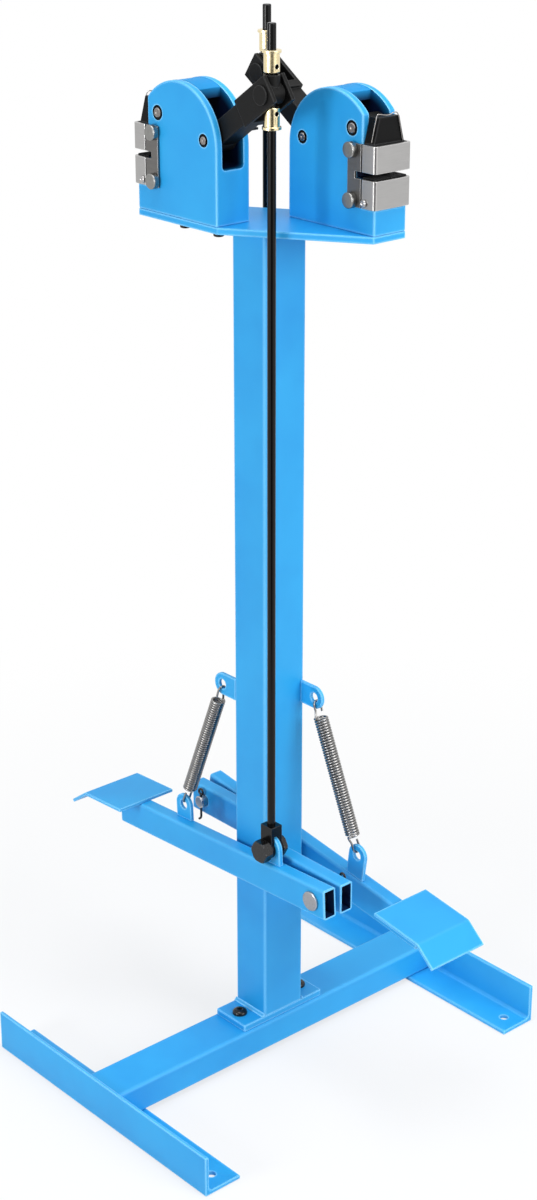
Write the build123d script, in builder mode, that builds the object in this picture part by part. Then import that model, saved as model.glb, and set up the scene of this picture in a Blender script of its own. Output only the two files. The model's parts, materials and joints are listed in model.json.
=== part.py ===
"""Foot-operated shrinker stretcher on a floor stand.

Frame: origin on the floor under the post, +X along the base beam toward the right foot,
+Y toward the back, +Z up. Sizes are millimetres and angles are degrees.

The machine has two working sides. The right side is the left side turned half a turn about
the post, so every left piece is built once and its right twin is made by turning it.
Only the resting angles of the two pedal levers differ.
"""
import os
from math import atan2, ceil, cos, degrees, hypot, pi, radians, sin, tan

from build123d import *

os.makedirs("parts", exist_ok=True)

# ---------------------------------------------------------------- base
FOOT_LENGTH = 402.0
FOOT_LEG = 51.5
FOOT_THICKNESS = 5.0
FOOT_FACE_X = 273.6
FOOT_HOLE_DIA = 11.0
FOOT_HOLE_X = FOOT_FACE_X - 27.1
FOOT_HOLE_END = 23.0     # from a floor hole to the end of its foot
FOOT_HOLE_Y = FOOT_LENGTH / 2 - FOOT_HOLE_END

BEAM_WIDTH = 60.0
BEAM_HEIGHT = 38.2
BEAM_WALL = 3.0
BEAM_CORNER = 4.0
BEAM_TOP = FOOT_THICKNESS + BEAM_HEIGHT

BASE_PLATE_X = 129.0
BASE_PLATE_THICKNESS = 8.5
BASE_BOLT_X = 49.0
BASE_BOLT_DIA = 10.0
BASE_BOLT_HEAD_DIA = 18.5
BASE_BOLT_HEAD = 6.0

# ---------------------------------------------------------------- post and top plate
POST_X = 62.0
POST_Y = 54.0
POST_WALL = 3.0
POST_CORNER = 3.0
POST_INNER_CORNER = 1.0
POST_FOOT_Z = BEAM_TOP + BASE_PLATE_THICKNESS
TOP_PLATE_THICKNESS = 7.8
HEAD_BASE_Z = 1050.0
POST_TOP_Z = HEAD_BASE_Z - TOP_PLATE_THICKNESS
WELD_LEG = 4.0

# ---------------------------------------------------------------- lines that both sides share
SIDE_X = 47.5            # middle plane of a lever, its pull rod, its handle arm and its head

# ---------------------------------------------------------------- pedal levers and pivots
LEVER_WIDTH = 19.0
LEVER_HEIGHT = 38.0
LEVER_WALL = 2.5
LEVER_CORNER = 3.0
PIVOT_Y = -139.0
PIVOT_Z = 276.2
LEVER_TAIL = 21.5        # from the pivot back to the open end
LEVER_REACH = 363.0      # from the pivot to the end under the pedal
LEFT_LEVER_ANGLE = 3.2   # resting slope of each lever, pedal end down
RIGHT_LEVER_ANGLE = 8.0

STUB_X_OUTER = POST_X / 2
STUB_WIDTH = 19.0
STUB_END_Y = -161.0
PIVOT_PIN_DIA = 16.0
PIVOT_HEAD_DIA = 24.0
PIVOT_HEAD = 3.0
PIVOT_FIT = 0.08
SPACER_DIA = 24.0
SPACER_GAP = 0.2
SPLIT_PIN_DIA = 3.0
SPLIT_PIN_STAND = 2.3
SPLIT_PIN_TAIL = 12.0
SPLIT_PIN_EYE = 3.6

PEDAL_WIDTH = 86.0
PEDAL_START = 320.5
PEDAL_LENGTH = 73.0
PEDAL_THICKNESS = 4.0
PEDAL_FLAP = 34.0
PEDAL_FLAP_ANGLE = 33.0
PEDAL_BEND = 5.0

SPRING_TAB_S = 249.0     # tab hole, along the lever from the pivot
LEFT_TAB_H = 38.0        # each tab hole, above its lever's centre line
RIGHT_TAB_H = 49.5
SPRING_TAB_INSET = 1.5   # from the lever's inner side to the tab
SPRING_TAB_RADIUS = 14.0
SPRING_TAB_HOLE = 12.0
TAB_THICKNESS = 4.5

ROD_TAB_H = 38.6
ROD_TAB_RADIUS = 17.0
ROD_TAB_THICKNESS = 6.0
ROD_BOLT_DIA = 12.0

# ---------------------------------------------------------------- post spring tabs
POST_TAB_HOLE_Y = 51.0
POST_TAB_HOLE_Z = 482.0
POST_TAB_INSET = 0.8     # from the post's side to the tab

# ---------------------------------------------------------------- return springs
SPRING_WIRE = 2.5
SPRING_OUTER = 18.0
SPRING_COILS = 42
HOOK_LENGTH = 25.5       # from a tab hole to the first coil
HOOK_RADIUS = 5.0
HOOK_SEAT = 2.5          # from the rim of a tab hole to the wire's middle
HOOK_END = 3.0
HOOK_NECK = 5.0

# ---------------------------------------------------------------- pull rods and collars
ROD_DIA = 9.6
ROD_Y = -57.6
ROD_TOP_Z = 1270.5
YOKE_WIDTH = 24.0
YOKE_LEG = 5.0
YOKE_BLOCK = 13.0
YOKE_ABOVE_BOLT = 18.0
YOKE_GAP = 0.5
YOKE_BOLT_FLATS = 25.0
YOKE_BOLT_HEAD = 12.0
YOKE_NUT_FLATS = 25.0
YOKE_NUT_THICKNESS = 6.5
YOKE_BOLT_PROUD = 0.4

COLLAR_DIA = 17.0
COLLAR_FLANGE_DIA = 20.6
COLLAR_FLANGE = 3.0
COLLAR_HEIGHT = 24.0
COLLAR_SCREW_DIA = 5.0

# ---------------------------------------------------------------- swivel block and handle arm
SWIVEL_Z = 1198.0
SWIVEL_DIA = 23.0        # barrel that lies across between the arm's cheeks
SWIVEL_SLEEVE_DIA = 18.0
SWIVEL_SLEEVE = 20.0     # from the barrel's axis up to the sleeve's end
SWIVEL_BORE = 13.4
SWIVEL_SCREW_DIA = 9.0
SWIVEL_HEAD_DIA = 21.0
SWIVEL_HEAD = 2.0
COLLAR_CLEARANCE = 1.2

HANDLE_PIN_Y = 26.6
HANDLE_PIN_Z = 1140.6
HANDLE_PIN_DIA = 9.0
ARM_WIDTH = 30.0
ARM_CHEEK = 5.0
ARM_CHEEK_HEIGHT = 31.0
ARM_BEYOND_SWIVEL = 14.5
ARM_CHEEK_START = 42.0   # from the swivel back toward the handle pin
ARM_WEB = 10.0
ARM_STEM_WIDTH = 26.0
ARM_STEM_HEIGHT = 24.0
ARM_HUB_RADIUS = 14.0
ARM_NOSE_Y = 70.0
ARM_NOSE_Z = 1144.6
ARM_NOSE_RADIUS = 6.0
ARM_NOSE_WIDTH = 16.0

# ---------------------------------------------------------------- heads
HEAD_WIDTH = 47.0
HEAD_SLOT = 30.0
HEAD_FRONT_Y = 140.4
HEAD_ARC_Y = 71.5
HEAD_ARC_Z = 1132.0
HEAD_ARC_RADIUS = 66.5
HEAD_BACK_Y = HEAD_ARC_Y - HEAD_ARC_RADIUS
HEAD_CHEEK_FRONT_Y = 121.0
HEAD_LEDGE_Z = 1078.5
HEAD_SLOT_FLOOR_Z = 1110.0
HEAD_SLOT_CORNER = 5.0
BRIDGE_THICKNESS = 10.0
BRIDGE_START_Y = 43.0
BRIDGE_END_Y = 92.0
HEAD_EDGE = 2.0
HEAD_BOLT_DIA = 8.0
HEAD_BOLT_HEAD_DIA = 12.0
HEAD_BOLT_HEAD = 8.0
HEAD_BOLT_X = (37.5, 60.0)
HEAD_BOLT_Y = (15.0, 72.0)
HEAD_BOLT_DEPTH = 22.0

ROCKER_PIN_Y = 104.0
ROCKER_PIN_Z = 1160.5
ROCKER_PIN_DIA = 11.0
ROCKER_WIDTH = 16.0
ROCKER_HUB_WIDTH = 29.0
ROCKER_HUB_RADIUS = 13.0
ROCKER_NOSE_Y = 127.0
ROCKER_NOSE_Z = 1158.0
ROCKER_NOSE_RADIUS = 6.0
ROCKER_ARM_HEIGHT = 8.0
ROCKER_TAIL_Y = 62.0
ROCKER_TAIL_THICKNESS = 12.0
CONTACT_GAP = 0.5
PIN_COUNTERBORE_DEPTH = 2.0
PIN_COUNTERBORE_MARGIN = 2.6
PIN_PROUD = 1.0
RUNNING_FIT = 0.06

# ---------------------------------------------------------------- jaws and their holders
THROAT_BACK_Y = 112.5
THROAT_BOTTOM_Z = 1109.5
THROAT_TOP_Z = 1117.5
STRAP_THICKNESS = 3.0
STRAP_BACK_Y = 101.0
STRAP_FRONT_Y = 131.0
STRAP_TOP_Z = 1146.0
CAP_THICKNESS = 3.0
CAP_CORNER = 2.5
CAP_GROOVE = 0.9
STRAP_SCREW_Y = 108.0
STRAP_SCREW_Z = (1085.5, 1139.0)
STRAP_SCREW_DIA = 7.0
STRAP_SCREW_HEAD_DIA = 17.5
STRAP_SCREW_HEAD = 6.5
STRAP_SCREW_LENGTH = 13.0
JAW_CLEARANCE = 0.4
JAW_HEIGHT = 11.0
JAW_SPLIT = 1.0
JAW_TEETH = 6
JAW_TOOTH_DEPTH = 0.8
HOLDER_TOP_Z = 1174.0
HOLDER_TOP_WIDTH = 29.0
HOLDER_BOTTOM_WIDTH = 44.0
HOLDER_FACE_Y = 136.5
HOLDER_POCKET_GAP = 0.6


HEX_CORNER_SHARE = 1.14  # bevel cylinder of a hexagon, against its width across flats
HEX_BEVEL_SHARE = 0.055


def turned(source):
    """The right-hand twin of a left-hand piece: half a turn about the post."""
    with BuildPart(mode=Mode.PRIVATE) as twin:
        add(source, rotation=(0, 0, 180))
    return twin.part


def plane_x(x):
    """Sketch plane at a given x: sketch x runs along +Y and sketch y along +Z."""
    return Plane(origin=(x, 0, 0), x_dir=(0, 1, 0), z_dir=(1, 0, 0))


def both_sides(source):
    """A left-hand piece and its right-hand twin, as two solids of one sub-part."""
    with BuildPart(mode=Mode.PRIVATE) as pair:
        add(source)
        add(source, rotation=(0, 0, 180))
    return pair.part


def cylinder_x(x_from, x_to, y, z, diameter):
    """Round bar along X between two planes."""
    with BuildPart(mode=Mode.PRIVATE) as bar:
        with BuildSketch(plane_x(x_from)):
            with Locations((y, z)):
                Circle(diameter / 2)
        extrude(amount=x_to - x_from)
    return bar.part


def hexagon_x(x_from, x_to, y, z, flats):
    """Hexagon bar along X between two planes, its corners bevelled at both ends."""
    with BuildPart(mode=Mode.PRIVATE) as bar:
        with BuildSketch(plane_x(x_from)):
            with Locations((y, z)):
                Circle(flats * HEX_CORNER_SHARE / 2)
        extrude(amount=x_to - x_from)
        chamfer(bar.edges().filter_by(GeomType.CIRCLE), flats * HEX_BEVEL_SHARE)
        with BuildSketch(plane_x(x_from)) as outline:
            with Locations((y, z)):
                RegularPolygon(flats / 2, 6, major_radius=False)
        extrude(outline.sketch, amount=x_to - x_from, mode=Mode.INTERSECT)
    return bar.part


def box_between(x, y, z):
    """Box between pairs of coordinates."""
    with BuildPart(mode=Mode.PRIVATE) as block:
        with Locations(((x[0] + x[1]) / 2, (y[0] + y[1]) / 2, (z[0] + z[1]) / 2)):
            Box(x[1] - x[0], y[1] - y[0], z[1] - z[0])
    return block.part


# ================================================================ base and post
with BuildPart() as foot_left:
    with BuildSketch(Plane.XZ.offset(-FOOT_LENGTH / 2)):
        with BuildLine():
            Polyline(
                (-FOOT_FACE_X, 0),
                (-FOOT_FACE_X + FOOT_LEG, 0),
                (-FOOT_FACE_X + FOOT_LEG, FOOT_THICKNESS),
                (-FOOT_FACE_X + FOOT_THICKNESS, FOOT_THICKNESS),
                (-FOOT_FACE_X + FOOT_THICKNESS, FOOT_LEG),
                (-FOOT_FACE_X, FOOT_LEG),
                close=True,
            )
        make_face()
    extrude(amount=FOOT_LENGTH)
    inner_corner = foot_left.edges().filter_by(Axis.Y).sort_by_distance(
        (-FOOT_FACE_X + FOOT_THICKNESS, 0, FOOT_THICKNESS))[0]
    fillet(inner_corner, FOOT_THICKNESS)
    toes = foot_left.edges().filter_by(Axis.Y).sort_by_distance(
        (-FOOT_FACE_X + FOOT_LEG, 0, FOOT_THICKNESS))[0]
    fillet(toes, FOOT_THICKNESS * 0.4)
    with Locations((-FOOT_HOLE_X, FOOT_HOLE_Y, 0), (-FOOT_HOLE_X, -FOOT_HOLE_Y, 0)):
        Cylinder(FOOT_HOLE_DIA / 2, 3 * FOOT_THICKNESS, mode=Mode.SUBTRACT)

with BuildPart() as foot_right:
    add(foot_left.part, rotation=(0, 0, 180))

BEAM_HALF = FOOT_FACE_X - FOOT_THICKNESS
with BuildPart() as base_beam:
    with BuildSketch(Plane.YZ.offset(-BEAM_HALF)):
        with Locations((0, FOOT_THICKNESS + BEAM_HEIGHT / 2)):
            RectangleRounded(BEAM_WIDTH, BEAM_HEIGHT, BEAM_CORNER)
            RectangleRounded(
                BEAM_WIDTH - 2 * BEAM_WALL, BEAM_HEIGHT - 2 * BEAM_WALL,
                BEAM_CORNER - BEAM_WALL, mode=Mode.SUBTRACT)
    extrude(amount=2 * BEAM_HALF)
    # the ends are notched round the inner fillet of each foot angle
    with Locations((-BEAM_HALF, 0, FOOT_THICKNESS), (BEAM_HALF, 0, FOOT_THICKNESS)):
        Box(2 * FOOT_THICKNESS, BEAM_WIDTH, 2 * FOOT_THICKNESS, mode=Mode.SUBTRACT)
    with Locations((-BASE_BOLT_X, 0, BEAM_TOP), (BASE_BOLT_X, 0, BEAM_TOP)):
        Cylinder(BASE_BOLT_DIA / 2, 4 * BEAM_WALL, mode=Mode.SUBTRACT)

with BuildPart() as base_welds:
    for side in (-1, 1):
        with BuildSketch(Plane.YZ.offset(side * POST_X / 2)):
            with BuildLine():
                Polyline((-POST_Y / 2, POST_FOOT_Z), (POST_Y / 2, POST_FOOT_Z),
                         (POST_Y / 2, POST_FOOT_Z + WELD_LEG),
                         (-POST_Y / 2, POST_FOOT_Z + WELD_LEG), close=True)
            make_face()
        extrude(amount=side * WELD_LEG)
    weld_tops = base_welds.edges().filter_by(Axis.Y).group_by(Axis.Z)[-1]
    outer = [edge for edge in weld_tops if abs(edge.center().X) > POST_X / 2 + WELD_LEG / 2]
    chamfer(outer, WELD_LEG * 0.9)

with BuildPart() as post:
    with BuildSketch(Plane.XY.offset(POST_FOOT_Z)):
        RectangleRounded(POST_X, POST_Y, POST_CORNER)
        RectangleRounded(
            POST_X - 2 * POST_WALL, POST_Y - 2 * POST_WALL,
            POST_INNER_CORNER, mode=Mode.SUBTRACT)
    extrude(amount=POST_TOP_Z - POST_FOOT_Z)

with BuildPart() as post_base_plate:
    with BuildSketch(Plane.XY.offset(BEAM_TOP)):
        RectangleRounded(BASE_PLATE_X, POST_Y, 2.0)
        with Locations((-BASE_BOLT_X, 0), (BASE_BOLT_X, 0)):
            Circle(BASE_BOLT_DIA / 2, mode=Mode.SUBTRACT)
    extrude(amount=BASE_PLATE_THICKNESS)

with BuildPart() as base_bolts:
    for side in (-1, 1):
        with Locations((side * BASE_BOLT_X, 0, POST_FOOT_Z + BASE_BOLT_HEAD / 2)):
            Cylinder(BASE_BOLT_HEAD_DIA / 2, BASE_BOLT_HEAD)
    rims = base_bolts.edges().filter_by(GeomType.CIRCLE).group_by(Axis.Z)[-1]
    fillet(rims, BASE_BOLT_HEAD * 0.55)
    for side in (-1, 1):
        shank = POST_FOOT_Z - BEAM_TOP + 2 * BEAM_WALL + BASE_BOLT_DIA
        with Locations((side * BASE_BOLT_X, 0, POST_FOOT_Z - shank / 2)):
            Cylinder(BASE_BOLT_DIA / 2 - RUNNING_FIT, shank)
        with Locations((side * BASE_BOLT_X, 0, POST_FOOT_Z + BASE_BOLT_HEAD)):
            with BuildSketch(Plane.XY.offset(POST_FOOT_Z + BASE_BOLT_HEAD)) as key:
                with Locations((side * BASE_BOLT_X, 0)):
                    RegularPolygon(BASE_BOLT_DIA * 0.3, 6, major_radius=False)
        extrude(key.sketch, amount=-BASE_BOLT_HEAD * 0.5, mode=Mode.SUBTRACT)

with BuildPart() as base_nuts:
    for side in (-1, 1):
        with BuildSketch(Plane.XY.offset(BEAM_TOP - BEAM_WALL)):
            with Locations((side * BASE_BOLT_X, 0)):
                RegularPolygon(BASE_BOLT_DIA * 0.85, 6, major_radius=False)
                Circle(BASE_BOLT_DIA / 2 - RUNNING_FIT, mode=Mode.SUBTRACT)
        extrude(amount=-BASE_BOLT_DIA * 0.8)

INNER_X = SIDE_X - HEAD_WIDTH / 2
OUTER_X = SIDE_X + HEAD_WIDTH / 2
with BuildPart() as top_plate:
    with BuildSketch(Plane.XY.offset(POST_TOP_Z)):
        with BuildLine():
            Polyline(
                (INNER_X, -HEAD_FRONT_Y), (OUTER_X, -HEAD_FRONT_Y), (OUTER_X, -HEAD_BACK_Y),
                (-INNER_X, HEAD_FRONT_Y), (-OUTER_X, HEAD_FRONT_Y), (-OUTER_X, HEAD_BACK_Y),
                close=True)
        make_face()
        for side in (-1, 1):
            for row in HEAD_BOLT_Y:
                for bolt_x in HEAD_BOLT_X:
                    with Locations((side * bolt_x, -side * row)):
                        Circle(HEAD_BOLT_DIA / 2, mode=Mode.SUBTRACT)
    extrude(amount=TOP_PLATE_THICKNESS)
    plate_corners = top_plate.edges().filter_by(Axis.Z).filter_by(
        lambda edge: edge.geom_type == GeomType.LINE and abs(edge.center().Y) > HEAD_FRONT_Y / 2)
    fillet(plate_corners, 2.0)


POST_TAB_X = -(POST_X / 2 - POST_TAB_INSET - TAB_THICKNESS / 2)
with BuildPart() as post_tab_left:
    with BuildSketch(plane_x(POST_TAB_X - TAB_THICKNESS / 2)):
        with Locations(((POST_Y / 2 + POST_TAB_HOLE_Y) / 2, POST_TAB_HOLE_Z)):
            Rectangle(POST_TAB_HOLE_Y - POST_Y / 2, 2 * SPRING_TAB_RADIUS)
        with Locations((POST_TAB_HOLE_Y, POST_TAB_HOLE_Z)):
            Circle(SPRING_TAB_RADIUS)
            Circle(SPRING_TAB_HOLE / 2, mode=Mode.SUBTRACT)
    extrude(amount=TAB_THICKNESS)
post_tabs = both_sides(post_tab_left.part)


# ================================================================ pivots of the pedal levers
STUB_MID_X = -(STUB_X_OUTER - STUB_WIDTH / 2)
with BuildPart() as pivot_stub_left:
    with BuildSketch(Plane.XZ.offset(POST_Y / 2)):
        with Locations((STUB_MID_X, PIVOT_Z)):
            RectangleRounded(STUB_WIDTH, LEVER_HEIGHT, LEVER_CORNER)
            RectangleRounded(
                STUB_WIDTH - 2 * LEVER_WALL, LEVER_HEIGHT - 2 * LEVER_WALL,
                LEVER_CORNER - LEVER_WALL, mode=Mode.SUBTRACT)
    extrude(amount=-STUB_END_Y - POST_Y / 2)
    with BuildSketch(plane_x(-STUB_X_OUTER - 1)) as stub_hole:
        with Locations((PIVOT_Y, PIVOT_Z)):
            Circle(PIVOT_PIN_DIA / 2)
    extrude(stub_hole.sketch, amount=STUB_WIDTH + 2, mode=Mode.SUBTRACT)
pivot_stub_left = pivot_stub_left.part
pivot_stub_right = turned(pivot_stub_left)

LEVER_OUTER_X = -(SIDE_X + LEVER_WIDTH / 2)
LEVER_INNER_X = -(SIDE_X - LEVER_WIDTH / 2)
SPRING_TAB_X = LEVER_INNER_X - SPRING_TAB_INSET - TAB_THICKNESS
PIN_TAIL_X = -STUB_X_OUTER + STUB_WIDTH + 9.0
SPLIT_PIN_X = -STUB_X_OUTER + STUB_WIDTH + 5.0
with BuildPart() as pivot_pin_left:
    add(cylinder_x(LEVER_OUTER_X - SPACER_GAP, PIN_TAIL_X, PIVOT_Y, PIVOT_Z,
                   PIVOT_PIN_DIA - 2 * PIVOT_FIT))
    add(cylinder_x(LEVER_OUTER_X - SPACER_GAP - PIVOT_HEAD, LEVER_OUTER_X - SPACER_GAP,
                   PIVOT_Y, PIVOT_Z, PIVOT_HEAD_DIA))
    pin_edges = pivot_pin_left.edges().filter_by(GeomType.CIRCLE)
    chamfer(pin_edges.group_by(Axis.X)[-1], 1.2)
    fillet(pin_edges.group_by(Axis.X)[0], 1.0)
    with Locations((SPLIT_PIN_X, PIVOT_Y, PIVOT_Z)):
        Cylinder(SPLIT_PIN_DIA / 2 + 0.2, 2 * PIVOT_PIN_DIA, mode=Mode.SUBTRACT)
pivot_pins = both_sides(pivot_pin_left.part)

with BuildPart() as spacer_left:
    add(cylinder_x(LEVER_INNER_X + SPACER_GAP, -STUB_X_OUTER, PIVOT_Y, PIVOT_Z, SPACER_DIA))
    add(cylinder_x(LEVER_INNER_X, 0, PIVOT_Y, PIVOT_Z, PIVOT_PIN_DIA), mode=Mode.SUBTRACT)
spacers = both_sides(spacer_left.part)

with BuildPart() as split_pin_left:
    leg_top = PIVOT_Z + PIVOT_PIN_DIA / 2 + SPLIT_PIN_STAND
    leg_low = PIVOT_Z - PIVOT_PIN_DIA / 2 - SPLIT_PIN_TAIL
    with BuildLine():
        shank = Line((SPLIT_PIN_X, PIVOT_Y, leg_top), (SPLIT_PIN_X, PIVOT_Y, leg_low))
        bend = TangentArc(
            shank @ 1, (SPLIT_PIN_X, PIVOT_Y - SPLIT_PIN_TAIL / 3, leg_low - SPLIT_PIN_TAIL / 2),
            tangent=shank % 1)
    with BuildSketch(Plane(origin=shank @ 0, z_dir=shank % 0)):
        Circle(SPLIT_PIN_DIA / 2)
    sweep()
    with Locations(Location((SPLIT_PIN_X, PIVOT_Y, leg_top + SPLIT_PIN_EYE), (0, 90, 0))):
        Torus(SPLIT_PIN_EYE, SPLIT_PIN_DIA / 2)
split_pins = both_sides(split_pin_left.part)


# ================================================================ pedal levers
def rod_tab_s(angle):
    """Place of the rod bolt along a lever, so that its pull rod hangs plumb at rest."""
    return (ROD_Y - PIVOT_Y - ROD_TAB_H * sin(radians(angle))) / cos(radians(angle))


def lever_point(s, h, angle):
    """(y, z) of the point s along the left lever and h above its centre line."""
    turn = radians(angle)
    return (PIVOT_Y + s * cos(turn) + h * sin(turn),
            PIVOT_Z - s * sin(turn) + h * cos(turn))


def lever_plane(angle, x):
    """Sketch plane at x whose origin is the pivot and whose x axis runs down the lever."""
    turn = radians(angle)
    return Plane(origin=(x, PIVOT_Y, PIVOT_Z), x_dir=(0, cos(turn), -sin(turn)),
                 z_dir=(1, 0, 0))


def make_lever(angle):
    """Rectangular tube with its pivot hole, open at the pivot end."""
    turn = radians(angle)
    with BuildPart() as lever:
        start = lever_point(-LEVER_TAIL, 0, angle)
        section = Plane(origin=(-SIDE_X, *start), x_dir=(1, 0, 0),
                        z_dir=(0, cos(turn), -sin(turn)))
        with BuildSketch(section):
            RectangleRounded(LEVER_WIDTH, LEVER_HEIGHT, LEVER_CORNER)
            RectangleRounded(
                LEVER_WIDTH - 2 * LEVER_WALL, LEVER_HEIGHT - 2 * LEVER_WALL,
                LEVER_CORNER - LEVER_WALL, mode=Mode.SUBTRACT)
        extrude(amount=LEVER_TAIL + LEVER_REACH)
        with BuildSketch(plane_x(LEVER_OUTER_X - 1)) as bore:
            with Locations((PIVOT_Y, PIVOT_Z)):
                Circle(PIVOT_PIN_DIA / 2)
        extrude(bore.sketch, amount=LEVER_WIDTH + 2, mode=Mode.SUBTRACT)
    return lever.part


def make_pedal(angle):
    """Flat tread plate on the lever with its outer end bent down."""
    bottom = LEVER_HEIGHT / 2
    bend_s = PEDAL_START + PEDAL_LENGTH
    drop = radians(PEDAL_FLAP_ANGLE)
    flap_s = bend_s + PEDAL_FLAP * cos(drop)
    flap_h = bottom + PEDAL_THICKNESS - PEDAL_FLAP * sin(drop)
    under_s = bend_s - PEDAL_THICKNESS * tan(drop / 2)
    with BuildPart() as pedal:
        with BuildSketch(lever_plane(angle, -SIDE_X - PEDAL_WIDTH / 2)):
            with BuildLine():
                Polyline(
                    (PEDAL_START, bottom),
                    (under_s, bottom),
                    (flap_s - PEDAL_THICKNESS * sin(drop), flap_h - PEDAL_THICKNESS * cos(drop)),
                    (flap_s, flap_h),
                    (bend_s, bottom + PEDAL_THICKNESS),
                    (PEDAL_START, bottom + PEDAL_THICKNESS),
                    close=True)
            make_face()
        extrude(amount=PEDAL_WIDTH)
        across = pedal.edges().filter_by(Axis.X)
        outer_bend = across.sort_by_distance(
            (-SIDE_X, *lever_point(bend_s, bottom + PEDAL_THICKNESS, angle)))[0]
        inner_bend = across.sort_by_distance((-SIDE_X, *lever_point(under_s, bottom, angle)))[0]
        fillet(outer_bend, PEDAL_BEND)
        fillet(inner_bend, PEDAL_BEND - PEDAL_THICKNESS)
    return pedal.part


def make_lever_tab(angle, hole_h):
    """Upright tab for the return spring, welded on the lever's top along its inner edge."""
    top = LEVER_HEIGHT / 2
    with BuildPart() as tab:
        with BuildSketch(lever_plane(angle, SPRING_TAB_X)):
            with Locations((SPRING_TAB_S, (top + hole_h) / 2)):
                Rectangle(2 * SPRING_TAB_RADIUS, hole_h - top)
            with Locations((SPRING_TAB_S, hole_h)):
                Circle(SPRING_TAB_RADIUS)
                Circle(SPRING_TAB_HOLE / 2, mode=Mode.SUBTRACT)
        extrude(amount=TAB_THICKNESS)
    return tab.part


def make_rod_tab(angle):
    """Upright tab that carries the lower end of the pull rod."""
    top = LEVER_HEIGHT / 2
    s = rod_tab_s(angle)
    with BuildPart() as tab:
        with BuildSketch(lever_plane(angle, -SIDE_X - ROD_TAB_THICKNESS / 2)):
            with Locations((s, (top + ROD_TAB_H) / 2)):
                Rectangle(2 * ROD_TAB_RADIUS, ROD_TAB_H - top)
            with Locations((s, ROD_TAB_H)):
                Circle(ROD_TAB_RADIUS)
                Circle(ROD_BOLT_DIA / 2, mode=Mode.SUBTRACT)
        extrude(amount=ROD_TAB_THICKNESS)
    return tab.part


lever_left = make_lever(LEFT_LEVER_ANGLE)
lever_right = turned(make_lever(RIGHT_LEVER_ANGLE))
pedal_left = make_pedal(LEFT_LEVER_ANGLE)
pedal_right = turned(make_pedal(RIGHT_LEVER_ANGLE))
lever_tab_left = make_lever_tab(LEFT_LEVER_ANGLE, LEFT_TAB_H)
lever_tab_right = turned(make_lever_tab(RIGHT_LEVER_ANGLE, RIGHT_TAB_H))
rod_tab_left = make_rod_tab(LEFT_LEVER_ANGLE)
rod_tab_right = turned(make_rod_tab(RIGHT_LEVER_ANGLE))


# ================================================================ pull rods
def bolt_height(angle):
    """Height of the rod bolt at rest."""
    return lever_point(rod_tab_s(angle), ROD_TAB_H, angle)[1]


YOKE_INNER = ROD_TAB_THICKNESS / 2 + YOKE_GAP
YOKE_OUTER = YOKE_INNER + YOKE_LEG


def make_rod(angle):
    """Plain round rod, bevelled at its top."""
    foot = bolt_height(angle) + YOKE_ABOVE_BOLT + 1.0
    with BuildPart() as rod:
        with Locations((-SIDE_X, ROD_Y, (foot + ROD_TOP_Z) / 2)):
            Cylinder(ROD_DIA / 2, ROD_TOP_Z - foot)
        chamfer(rod.edges().filter_by(GeomType.CIRCLE).group_by(Axis.Z)[-1], 0.8)
    return rod.part


def make_yoke(angle):
    """Fork that joins the rod to the tab: a block over two round-ended legs."""
    bolt_z = bolt_height(angle)
    block_low = bolt_z + YOKE_ABOVE_BOLT
    with BuildPart() as yoke:
        for side in (-1, 1):
            inner = -SIDE_X + side * YOKE_INNER
            with BuildSketch(plane_x(inner)) as leg:
                with Locations((ROD_Y, bolt_z)):
                    Circle(YOKE_WIDTH / 2)
                with Locations((ROD_Y, (bolt_z + block_low + YOKE_BLOCK) / 2)):
                    Rectangle(YOKE_WIDTH * 0.8, block_low + YOKE_BLOCK - bolt_z)
                with Locations((ROD_Y, bolt_z)):
                    Circle(ROD_BOLT_DIA / 2 + RUNNING_FIT, mode=Mode.SUBTRACT)
            extrude(leg.sketch, amount=side * YOKE_LEG)
        with Locations((-SIDE_X, ROD_Y, block_low + YOKE_BLOCK / 2)):
            Box(2 * YOKE_INNER, YOKE_WIDTH * 0.8, YOKE_BLOCK)
        with Locations((-SIDE_X, ROD_Y, block_low + YOKE_BLOCK / 2 + 1.0)):
            Cylinder(ROD_DIA / 2, YOKE_BLOCK, mode=Mode.SUBTRACT)
    return yoke.part


def make_yoke_bolt(angle):
    """Bolt through fork and tab, its hexagon head on the outer side."""
    bolt_z = bolt_height(angle)
    outer = -SIDE_X - YOKE_OUTER
    with BuildPart() as bolt:
        add(cylinder_x(outer, -SIDE_X + YOKE_OUTER + YOKE_NUT_THICKNESS + YOKE_BOLT_PROUD,
                       ROD_Y, bolt_z, ROD_BOLT_DIA - 2 * PIVOT_FIT))
        add(hexagon_x(outer - YOKE_BOLT_HEAD, outer, ROD_Y, bolt_z, YOKE_BOLT_FLATS))
    return bolt.part


def make_yoke_nut(angle):
    """Thin nut on the inner end of the yoke bolt."""
    bolt_z = bolt_height(angle)
    inner = -SIDE_X + YOKE_OUTER
    with BuildPart() as nut:
        add(hexagon_x(inner, inner + YOKE_NUT_THICKNESS, ROD_Y, bolt_z, YOKE_NUT_FLATS))
        add(cylinder_x(inner - 1, inner + YOKE_NUT_THICKNESS + 1, ROD_Y, bolt_z,
                       ROD_BOLT_DIA - 2 * PIVOT_FIT), mode=Mode.SUBTRACT)
    return nut.part


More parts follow.
